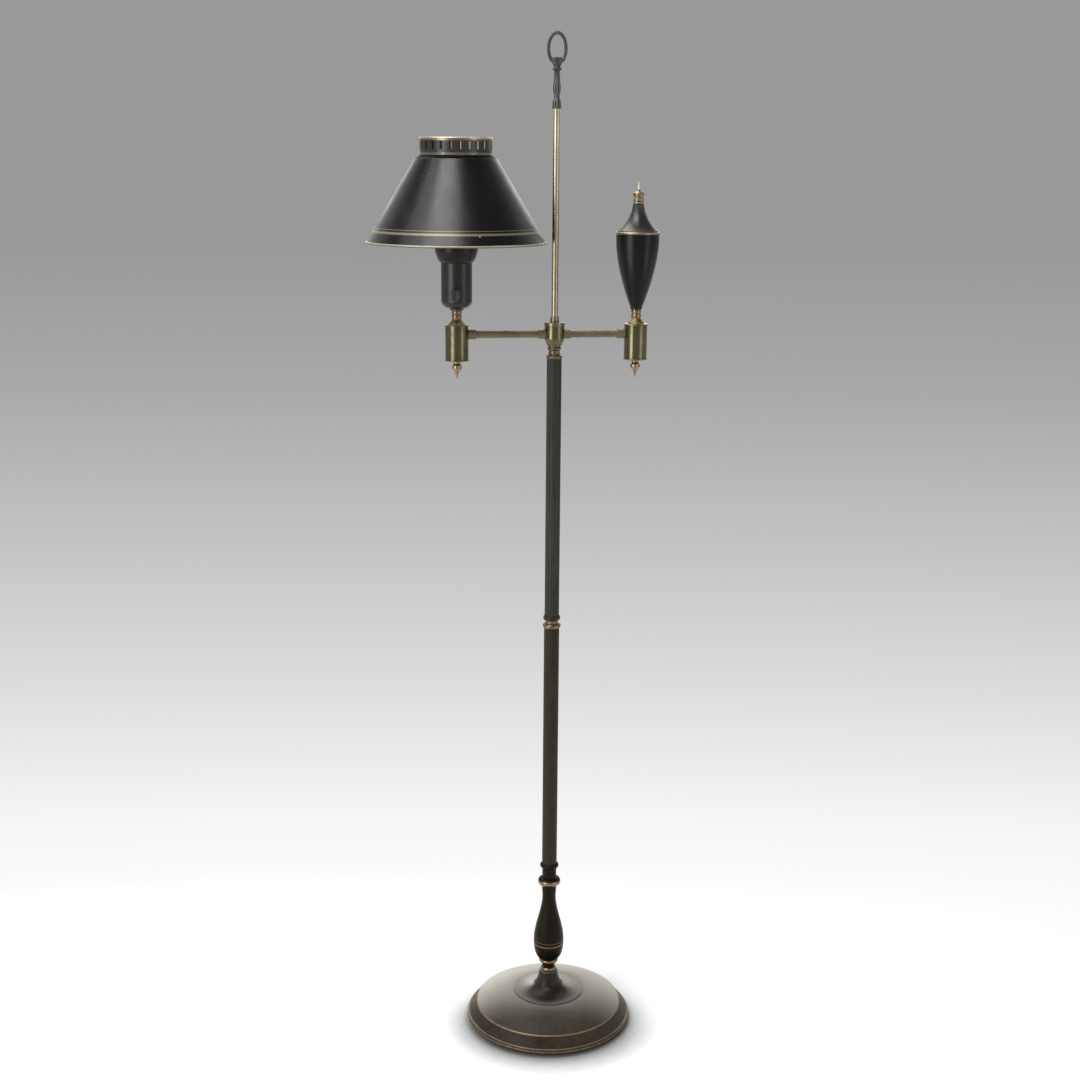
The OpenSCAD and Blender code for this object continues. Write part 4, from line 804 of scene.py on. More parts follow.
bright_tip = metal_finish("bright_tip", (216, 208, 194), (150, 140, 124), age=0.3, gloss=0.2)


def urn(r, foot_r):
    return [(r - (r - foot_r) * (1 - t) ** URN_POWER, FONT_FOOT_H + URN_H * t) for t in shares(40)]


turned(
    "font_body",
    [
        (0, [(PIPE_HOLE_R, 0), (FONT_FOOT_R, 0)] + urn(FONT_R, FONT_FOOT_R) + [(FONT_R, FONT_H)]),
        (0, [(FONT_R - FONT_WALL, FONT_H)] + urn(FONT_R - FONT_WALL, FONT_FOOT_R - FONT_WALL)[::-1]),
        (0, [(PIPE_HOLE_R, FONT_FOOT_H)]),
    ],
    font_lacquer, around=128,
)
ring = [(FONT_RING_HOLE_R, 0)] + bead(FONT_RING_R, *FONT_RING_BEAD) + [(FONT_RING_HOLE_R, FONT_RING_H)]
turned("font_ring", [(0, ring)], font_gilt, around=128)
turned(
    "font_lid",
    [
        (0, [(PIPE_HOLE_R, LID_H - LID_WALL)]),
        (0, reversed(trumpet(LID_R - LID_WALL, LID_TOP_R - LID_EDGE, 0, LID_H - LID_WALL, *LID_BEND))),
        (0, [(LID_R, 0)] + trumpet(LID_R, LID_TOP_R, LID_EDGE, LID_H, *LID_BEND) + [(PIPE_HOLE_R, LID_H)]),
    ],
    lid_lacquer, ease=0.3, around=128,
)

FINIAL_R, FINIAL_SWELL, FINIAL_HOLE_H, FINIAL_H = 6.7, 1.3, 5.0, 30.0
FINIAL_FOOT_HALF, FINIAL_BEAD_Z, FINIAL_BEAD_HALF = 1.5, 13.3, 2.7
FINIAL_STEP, FINIAL_BARREL = [(6.9, 3.4), (7.9, 4.3)], (8.0, 4.5, FINIAL_R, 10.6)
FINIAL_SHOULDER = (6.4, 16.2), (4.6, 17.6), (2.2, 17.4), (2.0, 19.4)
FINIAL_SPIKE = [FINIAL_SHOULDER[-1], (0.95, 29.4), (0.5, FINIAL_H), (0, FINIAL_H)]
turned(
    "font_finial",
    [
        (0, [(PIPE_HOLE_R, FINIAL_HOLE_H), (PIPE_HOLE_R, 0)]),
        (0, bead(FINIAL_R, FINIAL_SWELL, FINIAL_FOOT_HALF, FINIAL_FOOT_HALF) + FINIAL_STEP),
        (0, sway(*FINIAL_BARREL, count=12)),
        (0, bead(FINIAL_R, FINIAL_SWELL, FINIAL_BEAD_Z, FINIAL_BEAD_HALF)),
        (0, curve(*FINIAL_SHOULDER, count=10)),
        (1, FINIAL_SPIKE + [(0, FINIAL_HOLE_H)]),
    ],
    font_gilt, bright_tip, ease=0.25, around=64,
)


# Socket and switch
# A black spun cup over an ordinary screw socket, with a moulded turn key through its side.
# Inside are a phenolic switch block, a fibre liner, the brass screw shell and its contact.

SOCKET_R, SOCKET_H, SOCKET_FOOT_R, SOCKET_FOOT_H, SOCKET_ROUND_Z = 21.9, 66.5, 9.75, 2.5, 13.5
SOCKET_FLOOR, SOCKET_FLOOR_R = 4.0, 9.9
socket_lacquer = lacquer("socket_lacquer", (20, 21, 20), (110, 100, 84), mottle=0.1)
socket_inside = rounding(SOCKET_FLOOR_R, SOCKET_FLOOR, SOCKET_R - SHEET, SOCKET_ROUND_Z + SHEET, 20)
turned(
    "socket_cover",
    [
        (0, [(PIPE_HOLE_R, 0), (SOCKET_FOOT_R, 0), (SOCKET_FOOT_R, SOCKET_FOOT_H)]),
        (0, rounding(SOCKET_FOOT_R, SOCKET_FOOT_H, SOCKET_R, SOCKET_ROUND_Z, 20)),
        (0, [(SOCKET_R, SOCKET_H), (SOCKET_R - SHEET, SOCKET_H)]),
        (0, socket_inside[::-1] + [(PIPE_HOLE_R, SOCKET_FLOOR)]),
    ],
    socket_lacquer, ease=0.5,
)
phenolic, tree, shader = new_finish("brown_phenolic")
place = place_on(tree)
mottle = grain(tree, place, 90.0, 5.0, 0.6)
wire(
    tree, shader, height=grain(tree, place, 900.0), depth=0.0001, strength=0.3,
    Base_Color=toned(tree, ramp(tree, mottle, 0.35, 0.7), srgb(58, 34, 24), srgb(88, 54, 38)),
    Roughness=ramp(tree, mottle, 0.3, 0.7, 0.3, 0.45),
)
dress(phenolic, "switch_block", "clamp_ring")
fibre, tree, shader = new_finish("pressed_fibre", Roughness=0.85)
pulp = grain(tree, place_on(tree), 600.0, 6.0, 0.75)
wire(
    tree, shader, height=pulp, depth=0.0002, strength=0.5,
    Base_Color=toned(tree, ramp(tree, pulp, 0.3, 0.7), srgb(150, 128, 98), srgb(188, 166, 132)),
)
dress(fibre, "socket_liner")
contact_brass = metal_finish("contact_brass", (222, 190, 120), (140, 108, 58), age=0.4, gloss=0.24)
dress(contact_brass, "screw_shell", "centre_contact", "switch_stem")

KEY_H, KEY_W, KEY_START, KEY_TURN, KEY_RIBS, KEY_AROUND = 19.6, 13.2, 22.5, -8.0, 22, 132
# Depth, share of the full size and depth of the ribs, from the cup outwards
KEY_LEVELS = [
    (0, 0.5, 0), (0, 0.86, 0), (0.5, 0.93, 0), (2, 0.97, 0.02), (5, 0.985, 0.03), (8, 0.96, 0.03),
    (9.6, 0.9, 0.015), (10.6, 0.8, 0), (11, 0.68, 0), (10.8, 0.56, 0), (10.2, 0.48, 0), (10, 0.3, 0),
]


def middle_of(node):
    low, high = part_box(node)
    return (low + high) / 2


def key_section(share, ribs):
    """A stadium outline of the turn key, shrunk to a share of its size, with ribs round its edge."""
    made = []
    for turn in turns_round(KEY_AROUND):
        reach = KEY_W / 2 * (1 + ribs * cos(KEY_RIBS * turn))
        rise = (KEY_H - KEY_W) / 2 * (1 if sin(turn) >= 0 else -1)
        made.append((reach * share * cos(turn), reach * share * sin(turn) + rise * share))
    return made


def skin(rows, capped=True):
    """Faces that join rings of vertices, with a flat face over each end where it is capped."""
    made = []
    for first, second in zip(rows, rows[1:]):
        for k in range(len(first)):
            n = (k + 1) % len(first)
            made.append((first[k], first[n], second[n], second[k]))
    return made + ([tuple(rows[0])[::-1], tuple(rows[-1])] if capped else [])


def all_but_ends(faces):
    """Smooth for the faces with four corners, and flat for those that close an end."""
    return [len(face) == 4 for face in faces]


axis = middle_of("socket_cover")
key_place = Matrix.Translation((axis.x, axis.y, middle_of("switch_stem").z))
key_place = key_place @ Matrix.Rotation(radians(KEY_TURN), 4, "Z")
verts, rows = [], []
for depth, share, ribs in KEY_LEVELS:
    rows.append(range(len(verts), len(verts) + KEY_AROUND))
    verts += [key_place @ (Vector((u, -(KEY_START + depth), v)) * MM) for u, v in key_section(share, ribs)]
faces = skin(rows)
stand_for("switch_knob", "turn_key", verts, faces, [black_moulding], smooth=all_but_ends(faces))


# Glass holder, bulb and bowl
# A spun gallery screwed on the socket holds the neck of an opal glass bowl, which spreads
# the light of a frosted bulb and carries the shade on its rim.

HOLDER_R, HOLDER_H, HOLDER_ROUND_H, HOLDER_HOLE_R = 30.2, 23.5, 16.6, 17.05
holder_lacquer = lacquer("holder_lacquer", (26, 22, 14), (110, 100, 84), mottle=0.1, specular=0.2)


def swell(r0, z0, r1, z1):
    """The side of a bowl, level at the start and steeper towards the end."""
    third = (r1 - r0) / 3
    return curve((r0, z0), (r0 + third, z0), (r1 - third, z0 + (z1 - z0) / 3), (r1, z1), count=18)


turned(
    "glass_holder",
    [
        (0, [(HOLDER_HOLE_R, 0)] + swell(SOCKET_R, 0, HOLDER_R, HOLDER_ROUND_H)),
        (0, [(HOLDER_R, HOLDER_H), (HOLDER_R - SHEET, HOLDER_H)]),
        (0, swell(SOCKET_R, SHEET, HOLDER_R - SHEET, HOLDER_ROUND_H + SHEET)[::-1]),
        (0, [(HOLDER_HOLE_R, SHEET)]),
    ],
    holder_lacquer, around=112,
)
cap_metal = metal_finish("bulb_cap_metal", (196, 190, 176), (130, 120, 104), age=0.4, gloss=0.28)
dress(cap_metal, "bulb_cap")

BULB_R, BULB_FOOT_R, BULB_WALL, BULB_H = 30.0, 13.0, 0.9, 81.0
BULB_MIDDLE, BULB_LOW_HANDLE, BULB_HIGH_HANDLE = BULB_H - BULB_R, 21.0, 30.0
frosted, tree, shader = new_finish("frosted_glass", IOR=1.5, Subsurface_Weight=0.35, Subsurface_Scale=0.01)
shader.inputs["Subsurface Radius"].default_value = (1.0, 0.9, 0.8)
place = place_on(tree)
frost = grain(tree, place, 1500.0, 3.0)
wire(
    tree, shader, height=frost, depth=0.00005, strength=0.4,
    Base_Color=toned(tree, grain(tree, place, 25.0), srgb(236, 234, 226), srgb(246, 245, 240)),
    Roughness=ramp(tree, frost, 0.3, 0.7, 0.4, 0.55),
)


def bulb_side(r, foot_r):
    rise = curve((foot_r, 0), (foot_r, BULB_LOW_HANDLE), (r, BULB_HIGH_HANDLE), (r, BULB_MIDDLE), count=20)
    return rise + arc(0, BULB_MIDDLE, r, 0, 90, 20)[1:-1]


turned(
    "bulb_glass",
    [
        (0, bulb_side(BULB_R, BULB_FOOT_R) + [(0, BULB_H), (0, BULB_H - BULB_WALL)]),
        (0, bulb_side(BULB_R - BULB_WALL, BULB_FOOT_R - BULB_WALL)[::-1]),
    ],
    frosted, ease=0.2,
)

BOWL_RIM_R, BOWL_NECK_R, BOWL_WALL, BOWL_NECK_H, BOWL_TOP, BOWL_HANDLE = 96.41, 28.7, 3.0, 5.7, 54.2, 29.1
opal, tree, shader = new_finish("opal_glass", IOR=1.5, Subsurface_Weight=0.5, Subsurface_Scale=0.02)
shader.inputs["Subsurface Radius"].default_value = (1.0, 0.95, 0.88)
place = place_on(tree)
swirl = grain(tree, place, 18.0, 4.0)
wire(
    tree, shader, height=swirl, depth=0.0006, strength=0.3,
    Base_Color=toned(tree, swirl, srgb(206, 203, 195), srgb(218, 216, 210)),
    Roughness=ramp(tree, grain(tree, place, 60.0), 0.35, 0.7, 0.1, 0.2),
)


def bowl_side(neck_r, rim_r, flare_z):
    half_way = (neck_r + rim_r) / 2
    handles = (half_way, flare_z), (rim_r, BOWL_TOP - BOWL_HANDLE)
    return [(neck_r, 0)] + curve((neck_r, flare_z), *handles, (rim_r, BOWL_TOP), count=40)


turned(
    "glass_bowl",
    [
        (0, bowl_side(BOWL_NECK_R, BOWL_RIM_R, BOWL_NECK_H)),
        (0, bowl_side(BOWL_NECK_R - BOWL_WALL, BOWL_RIM_R - BOWL_WALL, BOWL_NECK_H + BOWL_WALL)[::-1]),
    ],
    opal, ease=0.9, around=160,
)


# Shade
# A cone of sheet with a wired rim, black outside with two gilt lines and white enamel
# inside. A pierced gallery with a copper rim is soldered on top to let out the heat.

SHADE_R, SHADE_TOP_R, SHADE_H, SHADE_WALL, SHADE_BEAD_R = 127.0, 57.4, 116.0, 0.93, 1.6
SHADE_FOOT, SHADE_INNER_FOOT = 3.0, 3.2
THICK_STRIPE, THIN_STRIPE = (15.6, 18.6), (21.2, 22.0)
# The rim's bead is gilt painted pale on its upper outer side, a painted highlight, and brown on its
# underside and inner side, painted shade
BEAD_SHADED_ARC, BEAD_LIT_ARC = (170, 345, 14), (345, 405, 8)
shade_lacquer = lacquer("shade_lacquer", (7, 8, 7), (120, 116, 104), wear=0.7, chips=0.4, gloss=0.31)
shade_gilt = gilt("shade_gilt_line", (136, 127, 104), (44, 42, 34), 0.04)
lit_bead_gilt = gilt("shade_bead_lit_gilt", (176, 166, 148), (112, 99, 82), 0.06)
shaded_bead_brown = gilt("shade_bead_painted_shade", (96, 78, 58), (50, 38, 26), 0.1)
enamel, tree, shader = new_finish("white_enamel", IOR=1.5)
place = place_on(tree)
scorch = ramp(tree, grain(tree, place, 16.0, 5.0), 0.4, 0.75)
wire(
    tree, shader, height=grain(tree, place, 500.0, 2.0), depth=0.0001, strength=0.25,
    Base_Color=toned(tree, scorch, srgb(236, 232, 220), srgb(222, 212, 190)),
    Roughness=ramp(tree, grain(tree, place, 90.0), 0.3, 0.7, 0.32, 0.48),
)


def cone_side(z):
    return SHADE_R - (SHADE_R - SHADE_TOP_R) / SHADE_H * z


band_zs = [SHADE_FOOT, *THICK_STRIPE, *THIN_STRIPE, SHADE_H]
outside = []
for i, (z0, z1) in enumerate(zip(band_zs, band_zs[1:])):
    heights = [z0 + (z1 - z0) * t for t in shares(2 if i % 2 else 24)]
    outside.append((i % 2, [(cone_side(z), z) for z in heights]))
bead_r = SHADE_R - SHADE_BEAD_R
turned(
    "shade_cone",
    [
        (2, [(cone_side(z) - SHADE_WALL, z) for z in (SHADE_H, SHADE_INNER_FOOT)]),
        (4, arc(bead_r, SHADE_BEAD_R, SHADE_BEAD_R, *BEAD_SHADED_ARC)),
        (3, arc(bead_r, SHADE_BEAD_R, SHADE_BEAD_R, *BEAD_LIT_ARC)),
        *outside,
    ],
    shade_lacquer, shade_gilt, enamel, lit_bead_gilt, shaded_bead_brown, ease=0.25, around=256,
)

GALLERY_R, FLARE_H, WALL_H, RIM_WIRE_R = 50.4, 7.5, 19.5, 1.2
SLOTS, SLOT_W, SLOT_H, SLOT_Z, SLOT_TURN = 24, 3.9, 11.0, 4.8, 1.5
# Painted shade in black below the seam's foot, and lacquer rubbed to metal along the seam as a painted
# highlight
SEAM_FOOT, SEAM_TOP, SEAM_RUB_AND_HIGHLIGHT = 4.4, 8.0, 0.9
WALL_FOOT, SLOT_MARGIN, BAND_GAP = 1.2, 2.4, 0.5
gallery_lacquer = lacquer(
    "gallery_lacquer", (36, 32, 25), (120, 116, 104), wear=0.7, chips=0.03, specular=0.5,
)
rim_copper = metal_finish("rim_copper", (190, 170, 150), (122, 96, 78), age=0.4, gloss=0.26)
band_copper = metal_finish("band_copper", (150, 132, 114), (84, 68, 54), age=0.5, gloss=0.3)
# Black lacquer that is painted shade in the crease below the gallery's seam
seam_painted_shade = lacquer("seam_painted_shade", (6, 6, 5), (60, 56, 50), wear=0.2, dust=0.01, gloss=0.6, specular=0.1)
gallery_top = FLARE_H + WALL_H
slot_foot = FLARE_H + SLOT_Z
slot_top = slot_foot + SLOT_H
wall_zs = [FLARE_H + WALL_FOOT, slot_foot - SLOT_MARGIN, slot_foot, slot_foot + SLOT_H / 2]
wall_zs += [slot_top, slot_top + BAND_GAP, gallery_top]
flare_handles = (GALLERY_R, FLARE_H * 0.2), (GALLERY_R, FLARE_H * 0.6)
levels = curve((SHADE_TOP_R, 0), *flare_handles, (GALLERY_R, FLARE_H), count=12)
levels += [(GALLERY_R, z) for z in wall_zs]
half_slot, pitch = SLOT_W / GALLERY_R / 2, 2 * pi / SLOTS
# The slot lies between the third and fourth of the turns of each pitch
pitch_turns = [-pitch / 2, -pitch / 3, -half_slot, half_slot, pitch / 3]
turns = [pitch * i + radians(SLOT_TURN) + turn for i in range(SLOTS) for turn in pitch_turns]
axis, foot = middle_of("shade_gallery"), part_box("shade_gallery")[0].z
verts, rubbed = [], []
for inset in (0, SHADE_WALL):
    for r, z in levels:
        reach = (r - inset) * MM
        verts += [(axis.x + reach * cos(a), axis.y + reach * sin(a), foot + z * MM) for a in turns]
        rubbed += [SEAM_RUB_AND_HIGHLIGHT if SEAM_FOOT < z < SEAM_TOP else 0.0] * len(turns)
count, inner = len(turns), len(turns) * len(levels)
slot_levels = [i for i, (r, z) in enumerate(levels) if slot_foot <= z < slot_top]
cut = {(i, k) for i in slot_levels for k in range(count) if k % len(pitch_turns) == 2}
faces, marks = [], []


def wall_face(quad, mark=0):
    faces.append(quad)
    marks.append(mark)


for i, (r, z) in enumerate(levels[:-1]):
    for k in range(count):
        n = (k + 1) % count
        a, b, c, d = i * count + k, i * count + n, (i + 1) * count + n, (i + 1) * count + k
        if (i, k) not in cut:
            # Above the slots the copper band, and below the seam's foot the black painted shade
            wall_face((a, b, c, d), 1 if z > slot_top else 2 if z < SEAM_FOOT else 0)
            wall_face((inner + d, inner + c, inner + b, inner + a))
            continue
        if (i - 1, k) not in cut:
            wall_face((a, b, inner + b, inner + a))
        if (i + 1, k) not in cut:
            wall_face((c, d, inner + d, inner + c))
        wall_face((d, a, inner + a, inner + d))
        wall_face((b, c, inner + c, inner + b))
top = inner - count
for k in range(count):
    n = (k + 1) % count
    wall_face((inner + k, inner + n, n, k))
    wall_face((top + k, top + n, inner + top + n, inner + top + k))
gallery_finishes = [gallery_lacquer, band_copper, seam_painted_shade]
stand_for("shade_gallery", "pierced_gallery", verts, faces, gallery_finishes, marks, edge=rubbed)
turned(
    "shade_gallery",
    [(0, arc(GALLERY_R - SHADE_WALL / 2, gallery_top, RIM_WIRE_R, 0, 360, 20)[:-1])],
    rim_copper, name="gallery_rim", ease=0.1, around=192,
)


# Rod
# A plain drawn brass rod screwed up from the pipe in a small turned collar. Its colour is made
# darker towards the collar and lighter towards the top.

ROD_COLLAR_R, ROD_COLLAR_TOP_R, ROD_COLLAR_H = 6.45, 5.6, 8.5
ROD_COLLAR_EDGE, ROD_SEAT_R, ROD_SEAT = 2.6, 4.8, 3.9
ROD_DULL_Z, ROD_BRIGHT_Z, ROD_DULL, ROD_BRIGHT = 1.1, 1.4, 0.7, 1.14
turned(
    "rod_collar",
    [
        (0, [(PIPE_HOLE_R, ROD_SEAT), (PIPE_HOLE_R, 0), (ROD_COLLAR_R, 0)]),
        (0, sway(ROD_COLLAR_R, ROD_COLLAR_EDGE, ROD_COLLAR_TOP_R, ROD_COLLAR_H, 10)),
        (0, [(ROD_SEAT_R, ROD_COLLAR_H), (ROD_SEAT_R, ROD_SEAT)]),
    ],
    rose_brass, ease=0.25, around=64,
)
rod_brass = metal_finish("rod_brass", (194, 181, 154), (130, 112, 86), age=0.35, gloss=0.24)
tree = rod_brass.node_tree
shader = tree.nodes["Principled BSDF"]
even = shader.inputs["Base Color"].links[0].from_socket
# Colour scaled by height: darker near the collar, lighter towards the top
height = add(tree, "SeparateXYZ", {0: place_on(tree)}).outputs["Z"]
lighter_upward = ramp(tree, height, ROD_DULL_Z, ROD_BRIGHT_Z, ROD_DULL, ROD_BRIGHT)
wire(tree, shader, Base_Color=scaled(tree, even, lighter_upward))
dress(rod_brass, "lift_rod")


# Ring finial
# One casting in dark grey metal: a cup of petals on the rod, a fluted stem, a bead, and an
# oval wreath of laurel leaves that serves as a handle.

cast_grey, tree, shader = new_finish("dark_casting", Metallic=0.75)
crust = grain(tree, place_on(tree), 480.0, 6.0, 0.75)
proud = times(tree, attribute(tree, "edge"), ramp(tree, crust, 0.25, 0.6, 0.4, 1.0))
wire(
    tree, shader, height=crust, depth=0.0004, strength=0.6,
    Base_Color=toned(tree, ramp(tree, proud, 0.2, 1.0), srgb(59, 60, 59), srgb(108, 109, 105)),
    Roughness=ramp(tree, crust, 0.3, 0.75, 0.42, 0.62),
)
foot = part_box("ring_finial")[0].z / MM
verts, faces, edges = [], [], []


def put(x, y, z, edge):
    """Adds a vertex, in mm above the finial's foot, and gives its number."""
    verts.append((x * MM, y * MM, (foot + z) * MM))
    edges.append(edge)
    return len(verts) - 1


PETALS, STEM_AROUND, PLAIN_EDGE = 8, 96, 0.5
# Height, radius and depth of the petals or flutes, up the cup and stem
STEM_SHAPE = [
    (0, 5.9, 0.1), (0.6, 6.4, 0.16), (3, 6.3, 0.18), (6, 6.1, 0.17), (9, 5.9, 0.14), (10.8, 5.7, 0.11),
    (11.7, 5.2, 0.06), (12.8, 4.5, 0.02), (15, 3.9, 0.02), (18, 4.2, 0.08), (22, 4.9, 0.14), (26, 5.4, 0.17),
    (29, 5.5, 0.16), (33, 5.1, 0.1), (38, 4.4, 0.04), (44, 4.0, 0), (50.4, 3.9, 0), (51.1, 5.0, 0),
    (52, 6.2, 0), (53, 6.6, 0), (54, 6.2, 0), (54.9, 5.0, 0), (55.6, 4.0, 0), (58, 4.0, 0),
]
rows = []
for z, r, depth in STEM_SHAPE:
    row = []
    for turn in turns_round(STEM_AROUND):
        lobe = abs(cos(PETALS / 2 * turn))
        reach = r * (1 - depth + depth * lobe)
        row.append(put(reach * cos(turn), reach * sin(turn), z, lobe if depth else PLAIN_EDGE))
    rows.append(row)
faces += skin(rows)

# Height, half width and half thickness of the knot of leaves that fills the foot of the wreath
KNOT_SHAPE = [
    (56.5, 4.4, 2.4), (59, 5.6, 2.8), (62, 7.4, 3.0), (65.5, 8.8, 3.0), (67.6, 9.0, 2.8), (68.6, 8.2, 2.2),
]
KNOT_AROUND, KNOT_DENT, KNOT_SAG = 40, 0.12, 0.6
rows = []
for z, wide, thick in KNOT_SHAPE:
    row = []
    for a in turns_round(KNOT_AROUND):
        dented = thick * sin(a) * (1 - KNOT_DENT * abs(sin(3 * a)))
        row.append(put(wide * cos(a), dented, z - KNOT_SAG * abs(cos(a)), 0.3 + 0.4 * abs(cos(3 * a))))
    rows.append(row)
faces += skin(rows)

# The rod that the leaves grow round
RING_Z, CORE_W, CORE_H, CORE_R, CORE_EDGE = 80.2, 11.9, 20.1, 1.2, 0.1


def wreath_at(turn, side=1):
    """The middle of the wreath's rod at a turn, the way out from it and the way along it."""
    centre = Vector((side * CORE_W * cos(turn), 0, RING_Z + CORE_H * sin(turn)))
    out = Vector((side * CORE_H * cos(turn), 0, CORE_W * sin(turn))).normalized()
    along = Vector((-side * CORE_W * sin(turn), 0, CORE_H * cos(turn))).normalized()
    return centre, out, along


rows = []
for turn in turns_round(96):
    centre, out, _ = wreath_at(turn)
    row = [centre + out * CORE_R * cos(b) + Vector((0, CORE_R * sin(b), 0)) for b in turns_round(10)]
    rows.append([put(*point, CORE_EDGE) for point in row])
faces += skin(rows + rows[:1], capped=False)

LEAF_ROWS, LEAF_FIRST, LEAF_SPAN, LEAF_SHIFT = 12, -62, 150, 0.15
LEAF_TILTS, LEAF_STAGGER = (0, 55, 125, 180, 235, 305), 28
LEAF_L, LEAF_W, LEAF_T, LEAF_ROOT, LEAF_FLARE = 5.4, 2.4, 0.8, 0.7, 0.14
LEAF_ARCH, MIDRIB = 1.1, 1.35
# Share of the length and share of the width, from root to point
LEAF_SHAPE = [(0.02, 0.3), (0.2, 0.8), (0.42, 1.0), (0.65, 0.82), (0.85, 0.42), (0.98, 0.08)]


def leaf(root, along, out):
    """Faces of a pointed leaf with a raised midrib, from its root along a direction."""
    across = along.cross(out).normalized()
    rows = []
    for t, w in LEAF_SHAPE:
        centre = root + along * LEAF_L * t + out * LEAF_T * LEAF_ARCH * sin(pi * t)
        row = []
        for k, turn in enumerate(turns_round(8)):
            rise = LEAF_T / 2 * sin(turn) * (MIDRIB if k == 2 else 1.0) * (0.4 + 0.6 * w)
            point = centre + across * LEAF_W / 2 * w * cos(turn) + out * rise
            row.append(put(*point, 0.25 + 0.75 * max(0.0, sin(turn)) * w))
        rows.append(row)
    return skin(rows)


for side in (1, -1):
    for i in range(LEAF_ROWS):
        turn = radians(LEAF_FIRST + LEAF_SPAN * (i + LEAF_SHIFT) / LEAF_ROWS)
        centre, out, along = wreath_at(turn, side)
        for tilt in LEAF_TILTS:
            tilt = radians(tilt + (LEAF_STAGGER if i % 2 else 0))
            normal = out * cos(tilt) + Vector((0, sin(tilt), 0))
            root = centre + normal * CORE_R * LEAF_ROOT
            faces += leaf(root, (along + normal * LEAF_FLARE).normalized(), normal)
stand_for("ring_finial", "wreath_finial", verts, faces, [cast_grey], smooth=all_but_ends(faces), edge=edges)


# Studio
# A pale floor that fades into a plain backdrop, soft boxes above, at both sides and behind,
# and the camera of the photograph.

FLOOR_HALF, FADE_NEAR, FADE_FAR, SIDE_WEIGHT = 60.0, 0.2, 0.55, 0.3
STAND_OFF, EYE_HEIGHT, BEARING = 2.2946, 1.327, 8.0
# Reach of the soft shadow under the base, how deep it is in front and behind, and where, and its limit
SHADOW_REACH, SHADOW_FRONT, SHADOW_BACK, SHADOW_SPAN, SHADOW_LEAST = 0.065, 8.5, 0.8, (-0.12, 0.07), 0.78
BACK_LEVEL, PAPER_LEVEL = 153, 251


def greys(tree, value, stops):
    """A ramp of greys, as (position, level) from the first stop to the last."""
    made = add(tree, "ValToRGB", {"Fac": value})
    elements = made.color_ramp.elements
    for element, (position, level) in zip(elements, (stops[0], stops[-1])):
        element.position, element.color = position, srgb(level, level, level)
    for position, level in stops[1:-1]:
        elements.new(position).color = srgb(level, level, level)
    return made.outputs["Color"]


floor_mesh = bpy.data.meshes.new("floor")
corners = [(x * FLOOR_HALF, y * FLOOR_HALF, 0) for x, y in ((-1, -1), (1, -1), (1, 1), (-1, 1))]
floor_mesh.from_pydata(corners, [], [(0, 1, 2, 3)])
floor = bpy.data.objects.new("floor", floor_mesh)
bpy.context.scene.collection.objects.link(floor)
paper = bpy.data.materials.new("studio_paper")
paper.use_nodes = True
tree = paper.node_tree
tree.nodes.clear()
facing_us = {"Vector": place_on(tree), "Rotation": (0, 0, radians(BEARING))}
place = add(tree, "Mapping", facing_us).outputs[0]
spread = add(tree, "VectorMath", {0: place, 1: (SIDE_WEIGHT, 1, 0)}, operation="MULTIPLY").outputs[0]
away = add(tree, "VectorMath", {0: spread}, operation="LENGTH").outputs["Value"]
path = add(tree, "LightPath").outputs
mirrored = maths(tree, "MAXIMUM", path["Is Glossy Ray"], path["Is Transmission Ray"])
seen = maths(tree, "MAXIMUM", path["Is Camera Ray"], mirrored)
nearness = maths(tree, "DIVIDE", STAND_OFF, maths(tree, "ADD", away, STAND_OFF))
fade = [(0.1, BACK_LEVEL), (0.26, 170), (0.43, 196), (0.59, 221), (0.75, 246), (0.87, 255)]
glow = add(tree, "Emission", {"Color": greys(tree, nearness, fade), "Strength": 1.0})
near = add(tree, "AmbientOcclusion", {"Distance": SHADOW_REACH}, samples=16).outputs["AO"]
near = maths(tree, "MAXIMUM", near, SHADOW_LEAST)
behind = add(tree, "SeparateXYZ", {0: place}).outputs["Y"]
depth = ramp(tree, behind, *SHADOW_SPAN, SHADOW_FRONT, SHADOW_BACK)
white = srgb(PAPER_LEVEL, PAPER_LEVEL, PAPER_LEVEL)
shaded = toned(tree, maths(tree, "POWER", near, depth), srgb(0, 0, 0), white)
matt = add(tree, "BsdfDiffuse", {"Color": shaded, "Roughness": 0.5})
share = times(tree, seen, ramp(tree, away, FADE_NEAR, FADE_FAR))
both = add(tree, "MixShader", {0: share, 1: matt.outputs[0], 2: glow.outputs[0]})
add(tree, "OutputMaterial", {"Surface": both.outputs[0]})
floor_mesh.materials.append(paper)

world = bpy.data.worlds.new("studio")
bpy.context.scene.world = world
world.use_nodes = True
tree = world.node_tree
rise = add(tree, "SeparateXYZ", {0: add(tree, "TexCoord").outputs["Generated"]}).outputs["Z"]
walls = greys(tree, rise, [(0.1, BACK_LEVEL), (0.17, 226), (0.42, 226), (0.6, 92)])
tree.links.new(walls, tree.nodes["Background"].inputs["Color"])
tree.nodes["Background"].inputs["Strength"].default_value = 1.0


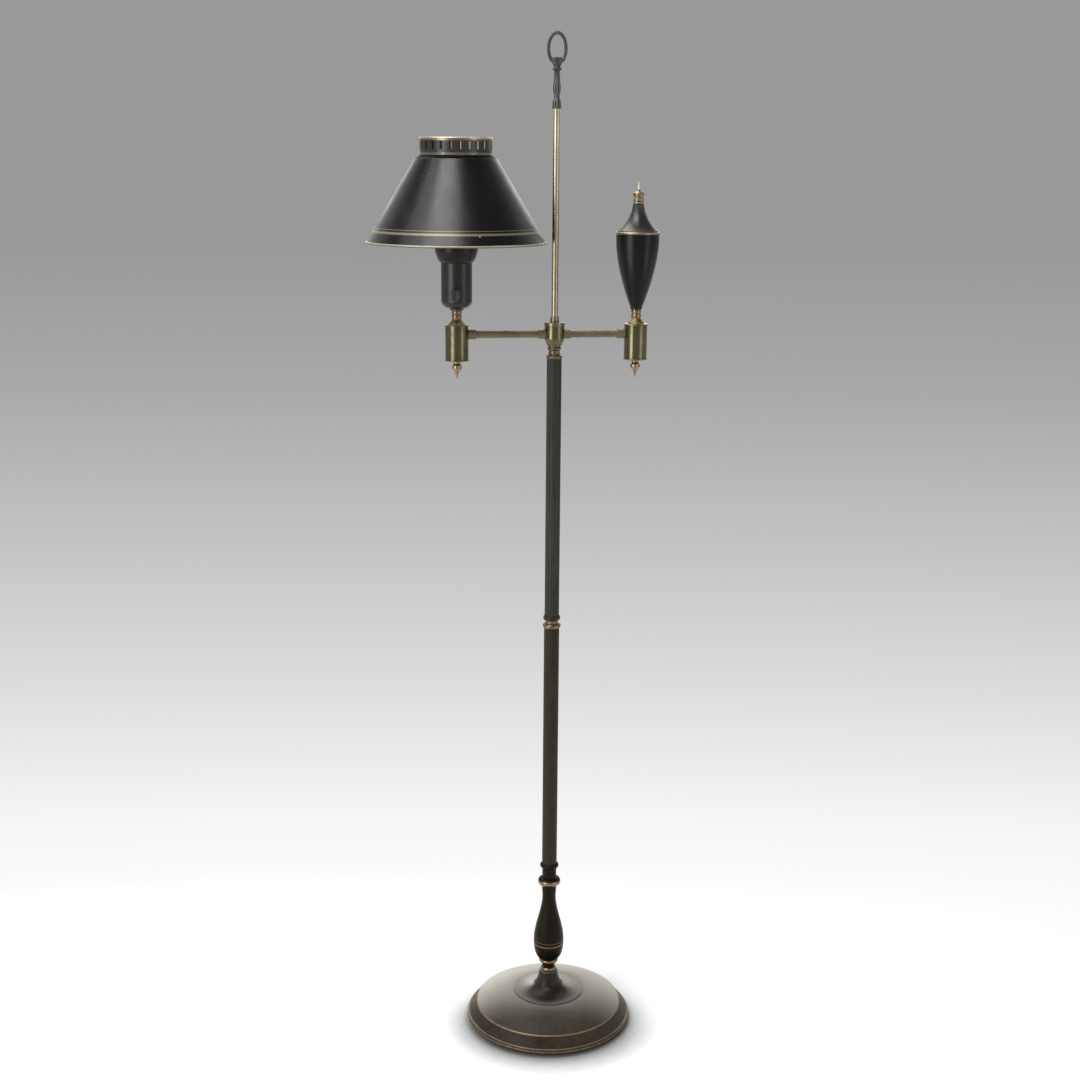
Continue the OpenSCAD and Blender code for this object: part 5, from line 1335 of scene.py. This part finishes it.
def softbox(name, spot, aim, width, height, power, mirrored=True):
    """A rectangle of soft light, in watts, that metal and lacquer may show or not."""
    lamp = bpy.data.lights.new(name, "AREA")
    lamp.shape, lamp.size, lamp.size_y, lamp.energy = "RECTANGLE", width, height, power
    made = bpy.data.objects.new(name, lamp)
    made.location = spot
    made.rotation_euler = (Vector(aim) - Vector(spot)).to_track_quat("-Z", "Y").to_euler()
    made.visible_camera, made.visible_glossy = False, mirrored
    bpy.context.scene.collection.objects.link(made)


softbox("front_top", (-0.72, -1.01, 2.96), (-0.14, 0, 1.26), 1.24, 0.8, 25.5)
softbox("left_top", (-1.66, -0.55, 2.84), (-0.14, 0, 1.26), 1.3, 0.9, 9.0)
softbox("overhead", (-0.3, 1.0, 2.95), (0, 0.15, 0), 2.0, 1.4, 42.0)
softbox("left_wall", (-2.4, 1.6, 0.85), (0, 0, 0.05), 2.8, 1.5, 40.0, mirrored=False)
softbox("left_strip", (-1.75, -1.4, 1.05), (0, 0, 1.05), 0.95, 1.9, 22.0)
softbox("right_strip", (1.65, -1.45, 1.05), (0, 0, 1.05), 0.8, 1.9, 6.6)
softbox("left_rim", (-0.67, 2.2, 1.85), (0, 0, 1.2), 1.0, 1.0, 3.4)
softbox("right_rim", (0.9, 2.12, 1.85), (0, 0, 1.2), 1.2, 1.0, 4.6)

LENS, SENSOR = 53.33, 36.0
PITCH, AIM, ROLL = 13.6, 0.46, 0.45
camera = bpy.data.objects.new("camera", bpy.data.cameras.new("camera"))
camera.data.lens, camera.data.sensor_width = LENS, SENSOR
spot = (-STAND_OFF * sin(radians(BEARING)), -STAND_OFF * cos(radians(BEARING)), EYE_HEIGHT)
camera.matrix_world = (
    Matrix.Translation(spot)
    @ Matrix.Rotation(radians(AIM - BEARING), 4, "Z")
    @ Matrix.Rotation(radians(90 - PITCH), 4, "X")
    @ Matrix.Rotation(radians(ROLL), 4, "Z")
)
bpy.context.scene.collection.objects.link(camera)
bpy.context.scene.camera = camera
bpy.context.scene.view_settings.view_transform = "Standard"
